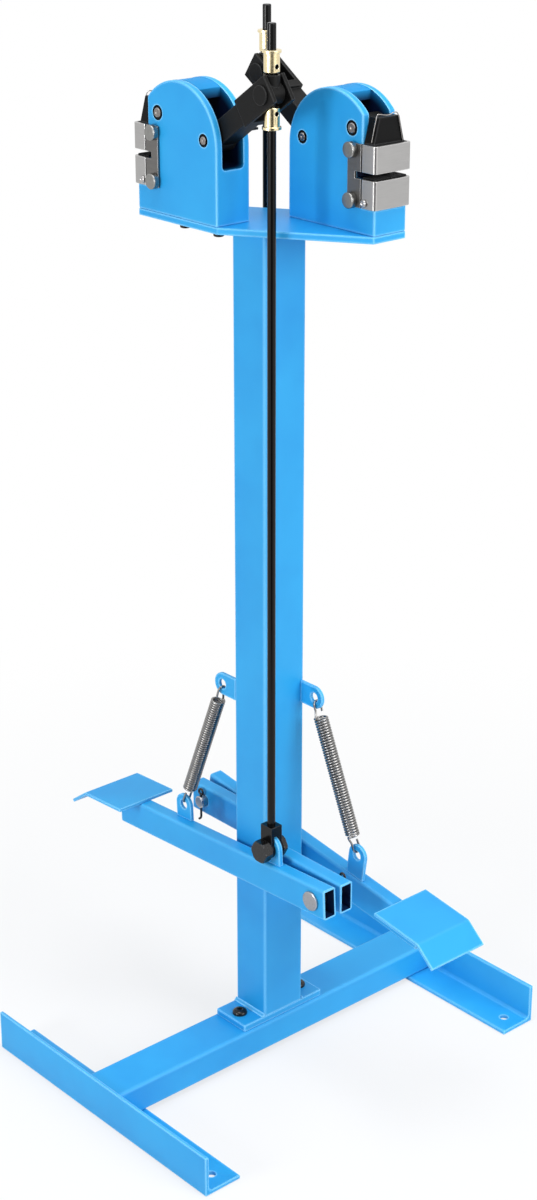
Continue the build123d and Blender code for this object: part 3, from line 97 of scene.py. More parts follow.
# %% [markdown]
# ## Helpers for exact shapes
#
# Sheet metal, bars and castings are outlines pushed through a thickness, and pins, screws and collars
# are profiles turned about an axis. A Bevel modifier then breaks every sharp edge, because real edges
# are never perfectly sharp and a broken edge is what catches the light. A Weighted Normal modifier
# keeps the flats between them flat.

# %% Small helpers
def point_on(axis, along, a, b):
    """A point in metres from a distance along one axis and two distances across it."""
    if axis == "X":
        return Vector((along, a, b)) * MM
    if axis == "Y":
        return Vector((a, along, b)) * MM
    return Vector((a, b, along)) * MM


def arc(centre, radius, start, end, steps):
    """Points on an arc, with the angles in degrees."""
    points = []
    for step in range(steps + 1):
        angle = math.radians(start + (end - start) * step / steps)
        points.append((centre[0] + radius * math.cos(angle), centre[1] + radius * math.sin(angle)))
    return points


def circle(centre, radius, steps=48):
    """Points round a circle."""
    return arc(centre, radius, 0, 360, steps)[:-1]


def rectangle(low, high, corner=0.0, steps=6):
    """Outline of a rectangle with rounded corners."""
    if corner <= 0:
        return [(low[0], low[1]), (high[0], low[1]), (high[0], high[1]), (low[0], high[1])]
    return (arc((high[0] - corner, low[1] + corner), corner, -90, 0, steps)
            + arc((high[0] - corner, high[1] - corner), corner, 0, 90, steps)
            + arc((low[0] + corner, high[1] - corner), corner, 90, 180, steps)
            + arc((low[0] + corner, low[1] + corner), corner, 180, 270, steps))


def as_object(name, mesh_builder):
    """An object at the origin from a bmesh, which is freed."""
    mesh = bpy.data.meshes.new(name)
    mesh_builder.to_mesh(mesh)
    mesh_builder.free()
    piece = bpy.data.objects.new(name, mesh)
    bpy.context.scene.collection.objects.link(piece)
    return piece


def settle(piece):
    """Turn what the modifiers show into the piece's own plain mesh."""
    bpy.context.view_layer.update()
    graph = bpy.context.evaluated_depsgraph_get()
    mesh = bpy.data.meshes.new_from_object(
        piece.evaluated_get(graph), preserve_all_data_layers=True, depsgraph=graph)
    piece.modifiers.clear()
    old = piece.data
    piece.data = mesh
    bpy.data.meshes.remove(old)
    mesh.name = piece.name
    return piece


SHARP_ANGLE = 32
FLAT_WITHIN = 0.4


def break_edges(piece, width, steps=3, angle=SHARP_ANGLE):
    """Round every sharp edge a little and keep the flats flat."""
    for polygon in piece.data.polygons:
        polygon.use_smooth = True
    piece.data.set_sharp_from_angle(angle=math.radians(angle))
    if width > 0:
        bevel = piece.modifiers.new("broken edges", "BEVEL")
        bevel.width = width * MM
        bevel.segments = steps
        bevel.limit_method = "ANGLE"
        bevel.angle_limit = math.radians(angle)
        bevel.harden_normals = True
        bevel.use_clamp_overlap = False
        flats = piece.modifiers.new("whole flats", "WEIGHTED_NORMAL")
        flats.weight = 100
        flats.keep_sharp = True
        settle(piece)
    return piece


def merge_flats(builder, within=FLAT_WITHIN):
    """Make one face of neighbours that share a plane, within an angle in degrees."""
    bmesh.ops.dissolve_limit(
        builder, angle_limit=math.radians(within), verts=builder.verts[:], edges=builder.edges[:])


def pushed(name, axis, low, high, outline, holes=(), edge=0.6, steps=3):
    """A plate or bar: an outline with holes, pushed along an axis from low to high."""
    builder = bmesh.new()
    edges = []
    for loop in [outline, *holes]:
        corners = [builder.verts.new(point_on(axis, low, a, b)) for a, b in loop]
        edges += [builder.edges.new((corners[k - 1], corners[k])) for k in range(len(corners))]
    bmesh.ops.triangle_fill(builder, use_beauty=True, edges=edges)
    top = bmesh.ops.extrude_face_region(builder, geom=builder.faces[:], use_keep_orig=True)
    moved = [item for item in top["geom"] if isinstance(item, bmesh.types.BMVert)]
    bmesh.ops.translate(builder, verts=moved, vec=point_on(axis, high - low, 0, 0))
    merge_flats(builder)
    bmesh.ops.recalc_face_normals(builder, faces=builder.faces[:])
    return break_edges(as_object(name, builder), edge, steps)


def turned(name, axis, centre, profile, segments):
    """A turned piece: (along, radius) points spun about a line along an axis."""
    builder = bmesh.new()
    rings = []
    for along, radius in profile:
        around = circle(centre, radius, segments) if radius > 0 else [centre]
        rings.append([builder.verts.new(point_on(axis, along, a, b)) for a, b in around])
    for first, second in zip(rings, rings[1:]):
        for k in range(segments):
            after = (k + 1) % segments
            corners = [first[k % len(first)], first[after % len(first)],
                       second[after % len(second)], second[k % len(second)]]
            builder.faces.new(list(dict.fromkeys(corners)))
    bmesh.ops.recalc_face_normals(builder, faces=builder.faces[:])
    return break_edges(as_object(name, builder), 0)


def joined(name, pieces):
    """Several meshes made one piece."""
    builder = bmesh.new()
    for piece in pieces:
        builder.from_mesh(piece.data)
        bpy.data.objects.remove(piece)
    return as_object(name, builder)


print("helpers ready")

# %% [markdown]
# ## The two sides
#
# Left-hand pieces are built first, on the side of the left pedal. Turning a copy half a turn about the
# post gives the right-hand piece. The levers rest at different slopes, so a test of a lever's faces
# first swings them back to a level lever.

# %% Places shared by both sides
HALF_TURN = Matrix.Rotation(math.pi, 4, "Z")
SIDES = ("left", "right")
SIDE_TURN = {"left": Matrix.Identity(4), "right": HALF_TURN}
LEVER_SLOPE = {"left": 3.2, "right": 8.0}
SIDE_X = 47.5
joint_place = {joint["name"]: [c / MM for c in joint.get("pos_m", (0, 0, 0))]
               for joint in frame["joints"]}
PIVOT_Y, PIVOT_Z = joint_place["pedal_left"][1:]
HANDLE_PIN_Y, HANDLE_PIN_Z = joint_place["arm_left"][1:]
ROCKER_PIN_Y, ROCKER_PIN_Z = joint_place["rocker_left"][1:]


def node_box(node):
    """Lowest and highest corner of a CAD node in millimetres."""
    low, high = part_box(node)
    return low / MM, high / MM


def placed(piece, matrix):
    """Bake a place into the piece's mesh, so that its object stays at the origin."""
    piece.data.transform(matrix)
    piece.data.update()
    return piece


def twin(piece, name):
    """A copy of a left-hand piece turned to the right-hand side."""
    copy = bpy.data.objects.new(name, piece.data.copy())
    bpy.context.scene.collection.objects.link(copy)
    return placed(copy, HALF_TURN)


def to_level(side):
    """Takes a place on this side's lever to a level left lever with its pivot at the origin."""
    pivot = Matrix.Translation(Vector((-SIDE_X, PIVOT_Y, PIVOT_Z)) * MM)
    swing = Matrix.Rotation(-math.radians(LEVER_SLOPE[side]), 4, "X")
    return (SIDE_TURN[side] @ pivot @ swing).inverted()


def use(piece, body, nodes, material=None):
    """Put a finished piece on its body, hide the CAD nodes that it stands for, and maybe give it a
    material.
    """
    if material is not None:
        piece.data.materials.clear()
        piece.data.materials.append(material)
    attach(piece, body)
    if nodes:
        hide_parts(*nodes)


def line_inside(piece, inside, material):
    """Give another material to the faces whose middle, in millimetres, passes a test."""
    piece.data.materials.append(material)
    index = len(piece.data.materials) - 1
    for polygon in piece.data.polygons:
        if inside(polygon.center / MM, polygon.normal):
            polygon.material_index = index


print("lever pivot at", round(PIVOT_Y, 1), round(PIVOT_Z, 1))

# %% [markdown]
# ## Shared shader groups
#
# Real finishes differ in colour but share the same faults: powder coat has a faint orange peel and metal
# has brush or turning lines. Every edge also gets a painted highlight, a paler colour along it for the
# light that a rounded edge catches. Each is one node group that puts out a mask or a height, and every
# material uses it with its own numbers.

# %% Node group helpers
def new_group(name, inputs, outputs):
    """An empty shader group with named float or vector inputs and float outputs."""
    group = bpy.data.node_groups.new(name, "ShaderNodeTree")
    for label, kind, value in inputs:
        socket = group.interface.new_socket(label, in_out="INPUT", socket_type=kind)
        socket.default_value = value
    for label in outputs:
        group.interface.new_socket(label, in_out="OUTPUT", socket_type="NodeSocketFloat")
    return group, group.nodes.new("NodeGroupInput"), group.nodes.new("NodeGroupOutput")


def add_node(tree, kind, **settings):
    """A node with its settings and, for names of sockets, its default values."""
    node = tree.nodes.new(kind)
    for key, value in settings.items():
        if hasattr(node, key):
            setattr(node, key, value)
        else:
            node.inputs[key.replace("_", " ")].default_value = value
    return node


def link_up(tree, *rows):
    """Links of a tree: each row says a node, its output, the next node and its input."""
    for source, output, target, entry in rows:
        tree.links.new(source.outputs[output], target.inputs[entry])


print("node helpers ready")

# %% Orange peel and tone of a sprayed coat
def make_sprayed_coat():
    """Height of the fine ripple of powder coat, and a slow change of tone."""
    group, start, end = new_group(
        "sprayed_coat", [("Ripple Scale", "NodeSocketFloat", 900.0),
                         ("Tone Scale", "NodeSocketFloat", 9.0)], ["Ripple", "Tone"])
    place = group.nodes.new("ShaderNodeTexCoord")
    ripple = add_node(group, "ShaderNodeTexNoise", Detail=2.0, Roughness=0.5)
    tone = add_node(group, "ShaderNodeTexNoise", Detail=3.0, Roughness=0.6)
    for noise, label in ((ripple, "Ripple"), (tone, "Tone")):
        link_up(group, (place, "Object", noise, "Vector"), (start, f"{label} Scale", noise, "Scale"),
                (noise, "Fac", end, label))
    return group


sprayed_coat = make_sprayed_coat()
print("group:", sprayed_coat.name)

# %% Lines left by a brush, a rolling mill or a lathe
def make_tool_lines():
    """Noise stretched along the tool's path, as a height and a mask."""
    group, start, end = new_group(
        "tool_lines", [("Line Density", "NodeSocketVector", (40.0, 40.0, 2500.0))], ["Lines"])
    place = group.nodes.new("ShaderNodeTexCoord")
    stretch = add_node(group, "ShaderNodeVectorMath", operation="MULTIPLY")
    noise = add_node(group, "ShaderNodeTexNoise", Scale=1.0, Detail=4.0, Roughness=0.65)
    link_up(group, (place, "Object", stretch, 0), (start, "Line Density", stretch, 1),
            (stretch, "Vector", noise, "Vector"), (noise, "Fac", end, "Lines"))
    return group


tool_lines = make_tool_lines()
print("group:", tool_lines.name)

# %% Painted edge highlights
def make_painted_edge_highlight():
    """A mask for a painted highlight: 1 on edges, where a rounded normal leaves the true one."""
    group, start, end = new_group(
        "worn_edge", [("Width", "NodeSocketFloat", 0.0012), ("Gain", "NodeSocketFloat", 6.0)],
        ["Edge"])
    rounded = add_node(group, "ShaderNodeBevel", samples=4)
    true_normal = group.nodes.new("ShaderNodeNewGeometry")
    likeness = add_node(group, "ShaderNodeVectorMath", operation="DOT_PRODUCT")
    away = add_node(group, "ShaderNodeMath", operation="SUBTRACT")
    away.inputs[0].default_value = 1.0
    gained = add_node(group, "ShaderNodeMath", operation="MULTIPLY", use_clamp=True)
    link_up(group, (start, "Width", rounded, "Radius"), (rounded, "Normal", likeness, 0),
            (true_normal, "Normal", likeness, 1), (likeness, "Value", away, 1),
            (away, "Value", gained, 0), (start, "Gain", gained, 1), (gained, "Value", end, "Edge"))
    return group


worn_edge = make_painted_edge_highlight()
print("group:", worn_edge.name)

# %% [markdown]
# ## Materials
#
# The stand is azure powder coat. The rods, arms and yokes are blackened steel, the jaw covers brushed
# steel, their straps plain rolled steel, coloured darker than the covers partly as painted shade, and
# the collars yellow zinc. Screws are bright zinc, plain steel or black oxide by their place.

# %% Material helpers
MIX_FACTOR, MIX_FIRST, MIX_SECOND, MIX_RESULT = 0, 6, 7, 2


def start_material(name, colour, roughness, metallic=0.0, shine=0.5):
    """A Principled material whose plain numbers sit on the shader's own sockets."""
    material = bpy.data.materials.new(name)
    material.use_nodes = True
    shader = material.node_tree.nodes["Principled BSDF"]
    shader.inputs["Base Color"].default_value = (*colour, 1.0)
    shader.inputs["Roughness"].default_value = roughness
    shader.inputs["Metallic"].default_value = metallic
    shader.inputs["Specular IOR Level"].default_value = shine
    return material, material.node_tree, shader


def group_node(tree, group, **values):
    """A placed node group with its input values."""
    return add_node(tree, "ShaderNodeGroup", node_tree=group, **values)


def toned(colour, gain, lift=0.0):
    """A colour made darker or paler, channel by channel."""
    return tuple(channel * gain + lift for channel in colour)


def colour_between(tree, mask, low, high, span=(0.0, 1.0)):
    """Colours chosen by a mask between two limits."""
    ramp = tree.nodes.new("ShaderNodeValToRGB")
    for element, position, colour in zip(ramp.color_ramp.elements, span, (low, high)):
        element.position = position
        element.color = (*colour, 1.0)
    tree.links.new(mask, ramp.inputs["Fac"])
    return ramp.outputs["Color"]


def paint_edge_highlight(tree, shader, body, highlight_colour, width, gain):
    """Painted highlight: let the body colour turn to a paler one along every edge."""
    edge = group_node(tree, worn_edge, Width=width, Gain=gain)
    mix = add_node(tree, "ShaderNodeMix", data_type="RGBA")
    mix.inputs[MIX_SECOND].default_value = (*highlight_colour, 1.0)
    tree.links.new(body, mix.inputs[MIX_FIRST])
    link_up(tree, (edge, "Edge", mix, MIX_FACTOR), (mix, MIX_RESULT, shader, "Base Color"))


def vary_roughness(tree, shader, mask, low, high):
    """Let the roughness follow a mask."""
    span = add_node(tree, "ShaderNodeMapRange", To_Min=low, To_Max=high)
    tree.links.new(mask, span.inputs["Value"])
    tree.links.new(span.outputs["Result"], shader.inputs["Roughness"])


def bump(tree, shader, height, distance, strength=1.0):
    """Fine relief from a height."""
    node = add_node(tree, "ShaderNodeBump", Distance=distance, Strength=strength)
    tree.links.new(height, node.inputs["Height"])
    tree.links.new(node.outputs["Normal"], shader.inputs["Normal"])


print("material helpers ready")

# %% Azure powder coat
AZURE_DEEP = (0.014, 0.305, 0.690)
AZURE_FULL = (0.022, 0.365, 0.750)
# painted highlight: the pale blue that the edges of the coat turn to
AZURE_EDGE_HIGHLIGHT = (0.250, 0.660, 0.960)
# painted shade: the near black navy of the deep slots and the tube insides
NAVY_PAINTED_SHADE = (0.0015, 0.0080, 0.0400)
AZURE_HIGHLIGHT_BAND = {"width": 0.0034, "gain": 12.0}
AZURE_SPAN, AZURE_SMOOTH, AZURE_ROUGH = (0.3, 0.6), 0.38, 0.50
PEEL = {"Ripple_Scale": 1100.0, "Tone_Scale": 7.0}
PEEL_RELIEF = 0.00012


def make_azure():
    """Powder coat: orange peel, a slow change of tone and a painted highlight, paler along the edges."""
    material, tree, shader = start_material("azure_powder_coat", AZURE_FULL, 0.42, shine=0.35)
    coat = group_node(tree, sprayed_coat, **PEEL)
    body = colour_between(tree, coat.outputs["Tone"], AZURE_DEEP, AZURE_FULL, AZURE_SPAN)
    paint_edge_highlight(tree, shader, body, AZURE_EDGE_HIGHLIGHT, **AZURE_HIGHLIGHT_BAND)
    vary_roughness(tree, shader, coat.outputs["Tone"], AZURE_SMOOTH, AZURE_ROUGH)
    bump(tree, shader, coat.outputs["Ripple"], PEEL_RELIEF, 0.5)
    return material


azure = make_azure()
print("material:", azure.name)

# %% Painted shade in the head slots and in the open tubes
HEAD_ARC_Y, HEAD_ARC_Z, HEAD_ARC_RADIUS = 71.5, 1132.0, 66.5
RIM_START, RIM_FULL = 0.82, 1.06
NAVY_SHADE_PALER, TUBE_SHADE_SPAN = (0.004, 0.040, 0.150), (0.35, 0.8)
TUBE_SHADE_NOISE = {"Ripple_Scale": 700.0, "Tone_Scale": 60.0}
TUBE_SHADE_RELIEF = 0.00015


def make_slot_shade():
    """Painted shade in a deep slot: full colour at the rim, near black inside."""
    material, tree, shader = start_material("thin_paint_in_slot", NAVY_PAINTED_SHADE, 0.55, shine=0.15)
    place = tree.nodes.new("ShaderNodeTexCoord")
    parts = tree.nodes.new("ShaderNodeSeparateXYZ")
    mirrored = add_node(tree, "ShaderNodeMath", operation="ABSOLUTE")
    over = add_node(tree, "ShaderNodeMath", operation="MAXIMUM")
    over.inputs[1].default_value = HEAD_ARC_Z * MM
    radial = tree.nodes.new("ShaderNodeCombineXYZ")
    middle = add_node(tree, "ShaderNodeVectorMath", operation="SUBTRACT")
    middle.inputs[1].default_value = (0.0, HEAD_ARC_Y * MM, HEAD_ARC_Z * MM)
    reach = add_node(tree, "ShaderNodeVectorMath", operation="LENGTH")
    rim = add_node(tree, "ShaderNodeMapRange", interpolation_type="SMOOTHSTEP",
                   From_Min=HEAD_ARC_RADIUS * RIM_START * MM, From_Max=HEAD_ARC_RADIUS * RIM_FULL * MM)
    link_up(tree, (place, "Object", parts, "Vector"), (parts, "Y", mirrored, 0),
            (mirrored, "Value", radial, "Y"), (parts, "Z", over, 0), (over, "Value", radial, "Z"),
            (radial, "Vector", middle, 0), (middle, "Vector", reach, 0), (reach, "Value", rim, "Value"))
    colour = colour_between(tree, rim.outputs["Result"], NAVY_PAINTED_SHADE, AZURE_DEEP)
    tree.links.new(colour, shader.inputs["Base Color"])
    coat = group_node(tree, sprayed_coat, **PEEL)
    bump(tree, shader, coat.outputs["Ripple"], PEEL_RELIEF, 0.4)
    return material


def make_tube_shade():
    """Painted shade inside the open tubes: a dark navy that varies at random."""
    material, tree, shader = start_material("thin_paint_in_tube", NAVY_PAINTED_SHADE, 0.6, shine=0.15)
    coat = group_node(tree, sprayed_coat, **TUBE_SHADE_NOISE)
    body = colour_between(tree, coat.outputs["Tone"], NAVY_PAINTED_SHADE, NAVY_SHADE_PALER, TUBE_SHADE_SPAN)
    tree.links.new(body, shader.inputs["Base Color"])
    bump(tree, shader, coat.outputs["Ripple"], TUBE_SHADE_RELIEF, 0.5)
    return material


slot_painted_shade = make_slot_shade()
tube_painted_shade = make_tube_shade()
print("thin paints:", slot_painted_shade.name, tube_painted_shade.name)

# %% Blackened steel
BLACK_HIGHLIGHT_BAND = {"width": 0.0016, "gain": 8.0}
BLACK_PALER = {"gain": 1.8, "lift": 0.001}
# painted highlight: the lighter black that the edges turn to
BLACK_EDGE_HIGHLIGHT = {"gain": 5.0, "lift": 0.030}
BLACK_SPAN = (0.45, 0.9)
BLACK_SMOOTHER, BLACK_ROUGHER = 0.08, 0.12


def make_black(name, colour, roughness, relief, lines, shine):
    """Black oxide: near black, with faint lines and a painted highlight, softly paler along the edges.
    """
    material, tree, shader = start_material(name, colour, roughness, shine=shine)
    mask = group_node(tree, tool_lines, Line_Density=lines).outputs["Lines"]
    body = colour_between(tree, mask, colour, toned(colour, **BLACK_PALER), BLACK_SPAN)
    paint_edge_highlight(tree, shader, body, toned(colour, **BLACK_EDGE_HIGHLIGHT), **BLACK_HIGHLIGHT_BAND)
    vary_roughness(tree, shader, mask, roughness - BLACK_SMOOTHER, roughness + BLACK_ROUGHER)
    bump(tree, shader, mask, relief)
    return material


black_rod = make_black("black_drawn_rod", (0.0012, 0.0012, 0.0013), roughness=0.17,
                       relief=0.00001, lines=(900.0, 900.0, 12.0), shine=0.22)
black_forged = make_black("black_forged_arm", (0.0042, 0.0041, 0.0040), roughness=0.46,
                          relief=0.00012, lines=(420.0, 420.0, 420.0), shine=0.14)
black_screw = make_black("black_oxide_screw", (0.0022, 0.0022, 0.0023), roughness=0.24,
                         relief=0.00002, lines=(500.0, 500.0, 500.0), shine=0.40)
black_jaw = make_black("hardened_jaw_steel", (0.0022, 0.0022, 0.0023), roughness=0.40,
                       relief=0.00003, lines=(200.0, 200.0, 1500.0), shine=0.11)
# painted shade: a near black colour for counterbores and screw holes, where shade falls
recess_painted_shade = make_black("oiled_recess", (0.0010, 0.0012, 0.0020), roughness=0.6,
                          relief=0.00002, lines=(300.0, 300.0, 300.0), shine=0.1)
print("black finishes:", black_rod.name, black_forged.name, black_screw.name, black_jaw.name)

# %% Bare metals
METAL_HIGHLIGHT_BAND = {"width": 0.0012, "gain": 5.0}
METAL_SPAN = (0.3, 0.65)
METAL_RELIEF = 0.00001
METAL_SMOOTHER, METAL_ROUGHER = 0.07, 0.10


def make_metal(name, colour, highlight_colour, roughness, lines, relief=METAL_RELIEF, dark=0.78):
    """Bare metal with the lines that its tool left, and a painted highlight: paler along its edges."""
    material, tree, shader = start_material(name, colour, roughness, metallic=1.0)
    mask = group_node(tree, tool_lines, Line_Density=lines).outputs["Lines"]
    body = colour_between(tree, mask, toned(colour, dark), colour, METAL_SPAN)
    paint_edge_highlight(tree, shader, body, highlight_colour, **METAL_HIGHLIGHT_BAND)
    vary_roughness(tree, shader, mask, roughness - METAL_SMOOTHER, roughness + METAL_ROUGHER)
    bump(tree, shader, mask, relief)
    return material


# highlight_colour is the painted highlight along each metal's edges
brushed_steel = make_metal("brushed_cover_steel", colour=(0.42, 0.415, 0.41),
                           highlight_colour=(0.95, 0.95, 0.95), roughness=0.30, lines=(50.0, 50.0, 900.0),
                           relief=0.000004, dark=0.94)
# plain rolled steel for the straps, with a base colour kept darker than the covers as painted shade on
# their side faces
strap_steel_painted_shade = make_metal("rolled_strap_steel", colour=(0.17, 0.165, 0.16), highlight_colour=(0.60, 0.60, 0.60),
                          roughness=0.34, lines=(60.0, 60.0, 900.0), dark=0.85)
plain_screw = make_metal("plain_steel_screw", colour=(0.28, 0.28, 0.27), highlight_colour=(0.92, 0.92, 0.92),
                         roughness=0.30, lines=(300.0, 300.0, 300.0), dark=0.85)
zinc_screw = make_metal("bright_zinc_screw", colour=(0.46, 0.45, 0.45), highlight_colour=(0.88, 0.88, 0.88),
                        roughness=0.28, lines=(700.0, 700.0, 700.0))
pin_steel = make_metal("oiled_pin_steel", colour=(0.26, 0.24, 0.23), highlight_colour=(0.62, 0.60, 0.58),
                       roughness=0.32, lines=(500.0, 500.0, 500.0))
yellow_zinc = make_metal("yellow_zinc_collar", colour=(0.86, 0.73, 0.44), highlight_colour=(0.97, 0.92, 0.72),
                          roughness=0.22, lines=(60.0, 60.0, 900.0), dark=0.92)
oiled_spring = make_metal("oiled_spring_wire", colour=(0.30, 0.295, 0.29), highlight_colour=(0.50, 0.49, 0.48),
                          roughness=0.22, lines=(900.0, 900.0, 900.0))
print("bare metals:", brushed_steel.name, zinc_screw.name, yellow_zinc.name, oiled_spring.name)

# %% [markdown]
# ## The base
#
# Two angle irons carry a rectangular tube, and the post stands on a plate bolted to the tube's middle.
# These are stock sections, so each is its cross-section pushed along its length.

# %% Foot angles
FOOT_THICKNESS, FOOT_ROOT, FOOT_TOE = 5.0, 5.0, 2.0
FOOT_HOLE_X, FOOT_HOLE_Y, FOOT_HOLE_RADIUS = 246.5, 178.0, 5.5
SAME_CORNER = 1e-6


def make_foot():
    """Angle iron with a rounded root and rounded toes."""
    low, high = node_box("foot_left")
    face, inner, top = low.x, high.x, high.z
    section = [(face, 0), (inner, 0)]
    section += arc((inner - FOOT_TOE, FOOT_THICKNESS - FOOT_TOE), FOOT_TOE, 0, 90, 4)
    section += arc((face + FOOT_THICKNESS + FOOT_ROOT, FOOT_THICKNESS + FOOT_ROOT), FOOT_ROOT,
                   270, 180, 6)
    section += arc((face + FOOT_THICKNESS - FOOT_TOE, top - FOOT_TOE), FOOT_TOE, 0, 90, 4)
    section += [(face, top)]
    return pushed("foot_left_bar", "Y", low.y, high.y, section, edge=0.7)


def cut(piece, cutters, edge=0.0, steps=2, angle=SHARP_ANGLE):
    """Cut tools out of a piece exactly, then break the new edges."""
    for index, cutter in enumerate(cutters):
        difference = piece.modifiers.new(f"cut {index}", "BOOLEAN")
        difference.operation = "DIFFERENCE"
        difference.solver = "EXACT"
        difference.object = cutter
    settle(piece)
    for cutter in cutters:
        bpy.data.objects.remove(cutter)
    builder = bmesh.new()
    builder.from_mesh(piece.data)
    bmesh.ops.remove_doubles(builder, verts=builder.verts[:], dist=SAME_CORNER)
    merge_flats(builder)
    builder.to_mesh(piece.data)
    builder.free()
    return break_edges(piece, edge, steps, angle)


def hole_tool(axis, low, high, centre, radius, steps=48):
    """A round cutter along an axis."""
    return pushed("hole_tool", axis, low, high, circle(centre, radius, steps), edge=0)


foot_left = make_foot()
cut(foot_left, [hole_tool("Z", -5, 20, (-FOOT_HOLE_X, y), FOOT_HOLE_RADIUS)
                for y in (-FOOT_HOLE_Y, FOOT_HOLE_Y)])
foot_right = twin(foot_left, "foot_right_bar")
use(foot_left, "stand", ["foot_left"], azure)
use(foot_right, "stand", ["foot_right"], azure)
print("foot angle faces:", len(foot_left.data.polygons))

# %% Base beam, base plate, post and top plate
def make_tube(name, axis, node, wall, corner, inner_corner):
    """Rectangular tube that fills a CAD node's box along an axis."""
    low, high = node_box(node)
    along = "XYZ".index(axis)
    across = [k for k in range(3) if k != along]
    first = [low[k] for k in across]
    last = [high[k] for k in across]
    inside = rectangle([c + wall for c in first], [c - wall for c in last], inner_corner, 4)
    return pushed(name, axis, low[along], high[along], rectangle(first, last, corner, 8),
                  [inside], edge=0.35, steps=2)


BASE_TUBE = {"wall": 3.0, "inner_corner": 1.0}
PLATE_EDGE = 0.9
beam = make_tube("beam_tube", "X", "base_beam", corner=4.0, **BASE_TUBE)
use(beam, "stand", ["base_beam"], azure)
post = make_tube("post_tube", "Z", "post", corner=3.0, **BASE_TUBE)
use(post, "stand", ["post"], azure)
low, high = node_box("post_base_plate")
base_plate = pushed("post_base_plate_bar", "Z", low.z, high.z, rectangle(low[:2], high[:2], 2.0),
                    edge=PLATE_EDGE)
use(base_plate, "stand", ["post_base_plate"], azure)
HEAD_INNER_X, HEAD_OUTER_X, HEAD_BACK, HEAD_FRONT = -24.0, -71.0, 5.0, 140.4
low, high = node_box("top_plate")
left_corners = [(HEAD_INNER_X, HEAD_FRONT), (HEAD_OUTER_X, HEAD_FRONT), (HEAD_OUTER_X, HEAD_BACK)]
top_plate = pushed("top_plate_bar", "Z", low.z, high.z,
                   [(-x, -y) for x, y in left_corners] + left_corners, edge=PLATE_EDGE)
use(top_plate, "stand", ["top_plate"], azure)
post_low, post_high = node_box("post")
print("post from", round(post_low.z, 1), "to", round(post_high.z, 1))

# %% [markdown]
# ## Pieces taken from the CAD nodes
#
# Many parts are already exact in the CAD model, but its meshes are loose triangles with razor edges.
# A copy is welded, its flats are made whole faces again, and its edges are broken like the rest.

# %% Dress copies of CAD nodes
CAD_SAME_CORNER = 2e-6
CAD_FLAT_WITHIN = 0.5


def dressed(name, node, edge):
    """A merged copy of a CAD node with whole flats and broken edges."""
    copy = frame["nodes"][node].data.copy()
    copy.transform(frame["nodes"][node].matrix_world)
    builder = bmesh.new()
    builder.from_mesh(copy)
    bpy.data.meshes.remove(copy)
    for face in builder.faces:
        face.material_index = 0
    bmesh.ops.remove_doubles(builder, verts=builder.verts[:], dist=CAD_SAME_CORNER)
    merge_flats(builder, CAD_FLAT_WITHIN)
    bmesh.ops.recalc_face_normals(builder, faces=builder.faces[:])
    return break_edges(as_object(name, builder), edge, 2)


def dress(nodes, body, material, edge):
    """Dress several CAD nodes one by one on the same body with the same finish."""
    for node in nodes:
        use(dressed(node + "_look", node, edge), body, [node], material)


dress(["post_tabs"], "stand", azure, edge=0.8)
dress(["base_welds"], "stand", azure, edge=0)
dress(["base_nuts"], "stand", black_screw, edge=0.4)
dress(["jaw_seats"], "stand", black_jaw, edge=0.35)
dress(["pivot_pins", "pivot_spacers"], "stand", zinc_screw, edge=0.3)
dress(["split_pins"], "stand", black_screw, edge=0)
for side in SIDES:
    dress([f"pedal_{side}", f"lever_tab_{side}", f"rod_tab_{side}"], f"lever_{side}",
          azure, edge=0.7)
    dress([f"yoke_{side}", f"rod_{side}"], f"rod_{side}", black_rod, edge=0.5)
    dress([f"yoke_bolt_{side}", f"yoke_nut_{side}"], f"rod_{side}", black_screw,
          edge=0.5)
    dress([f"arm_{side}"], f"arm_{side}", black_forged, edge=0.8)
    dress([f"swivel_{side}", f"swivel_screws_{side}"], f"swivel_{side}",
          black_forged, edge=0.5)
    dress([f"rocker_{side}"], f"rocker_{side}", black_forged, edge=0.5)

# %% [markdown]
# ## Open tubes and drilled collars
#
# Levers and pivot stubs are open rectangular tubes. Light doesn't get far inside, so the inner walls
# get a dark colour as painted shade. The collars' screw holes get painted shade for the same reason.

# %% Levers, stubs and collars with painted shade inside
TUBE_WALL = 2.5
TUBE_HALF_WIDTH, TUBE_HALF_HEIGHT = 9.5, 19.0
INSIDE_WIDTH = TUBE_HALF_WIDTH - TUBE_WALL + 0.2
INSIDE_HEIGHT = TUBE_HALF_HEIGHT - TUBE_WALL + 0.2
SCREW_HOLE_START, SCREW_HOLE_END, SCREW_HOLE_HALF = 5.4, 8.2, 2.6
WALL_FACING, HOLE_FACING = 0.5, 0.9


def inner_wall(place, facing):
    """Whether a face, seen along its own level tube, is on the inner walls."""
    return (abs(place.x) < INSIDE_WIDTH and abs(place.z) < INSIDE_HEIGHT
            and abs(facing.y) < WALL_FACING)


def screw_hole(place, facing):
    """Whether a face, seen from its rod's middle line, is in a collar's screw hole."""
    return (SCREW_HOLE_START < math.hypot(place.x, place.y) < SCREW_HOLE_END
            and abs(place.x) < SCREW_HOLE_HALF
            and max(abs(facing.y), abs(facing.z)) < HOLE_FACING)


def node_middle(node):
    """Middle of a CAD node's box in millimetres."""
    low, high = node_box(node)
    return (low + high) / 2


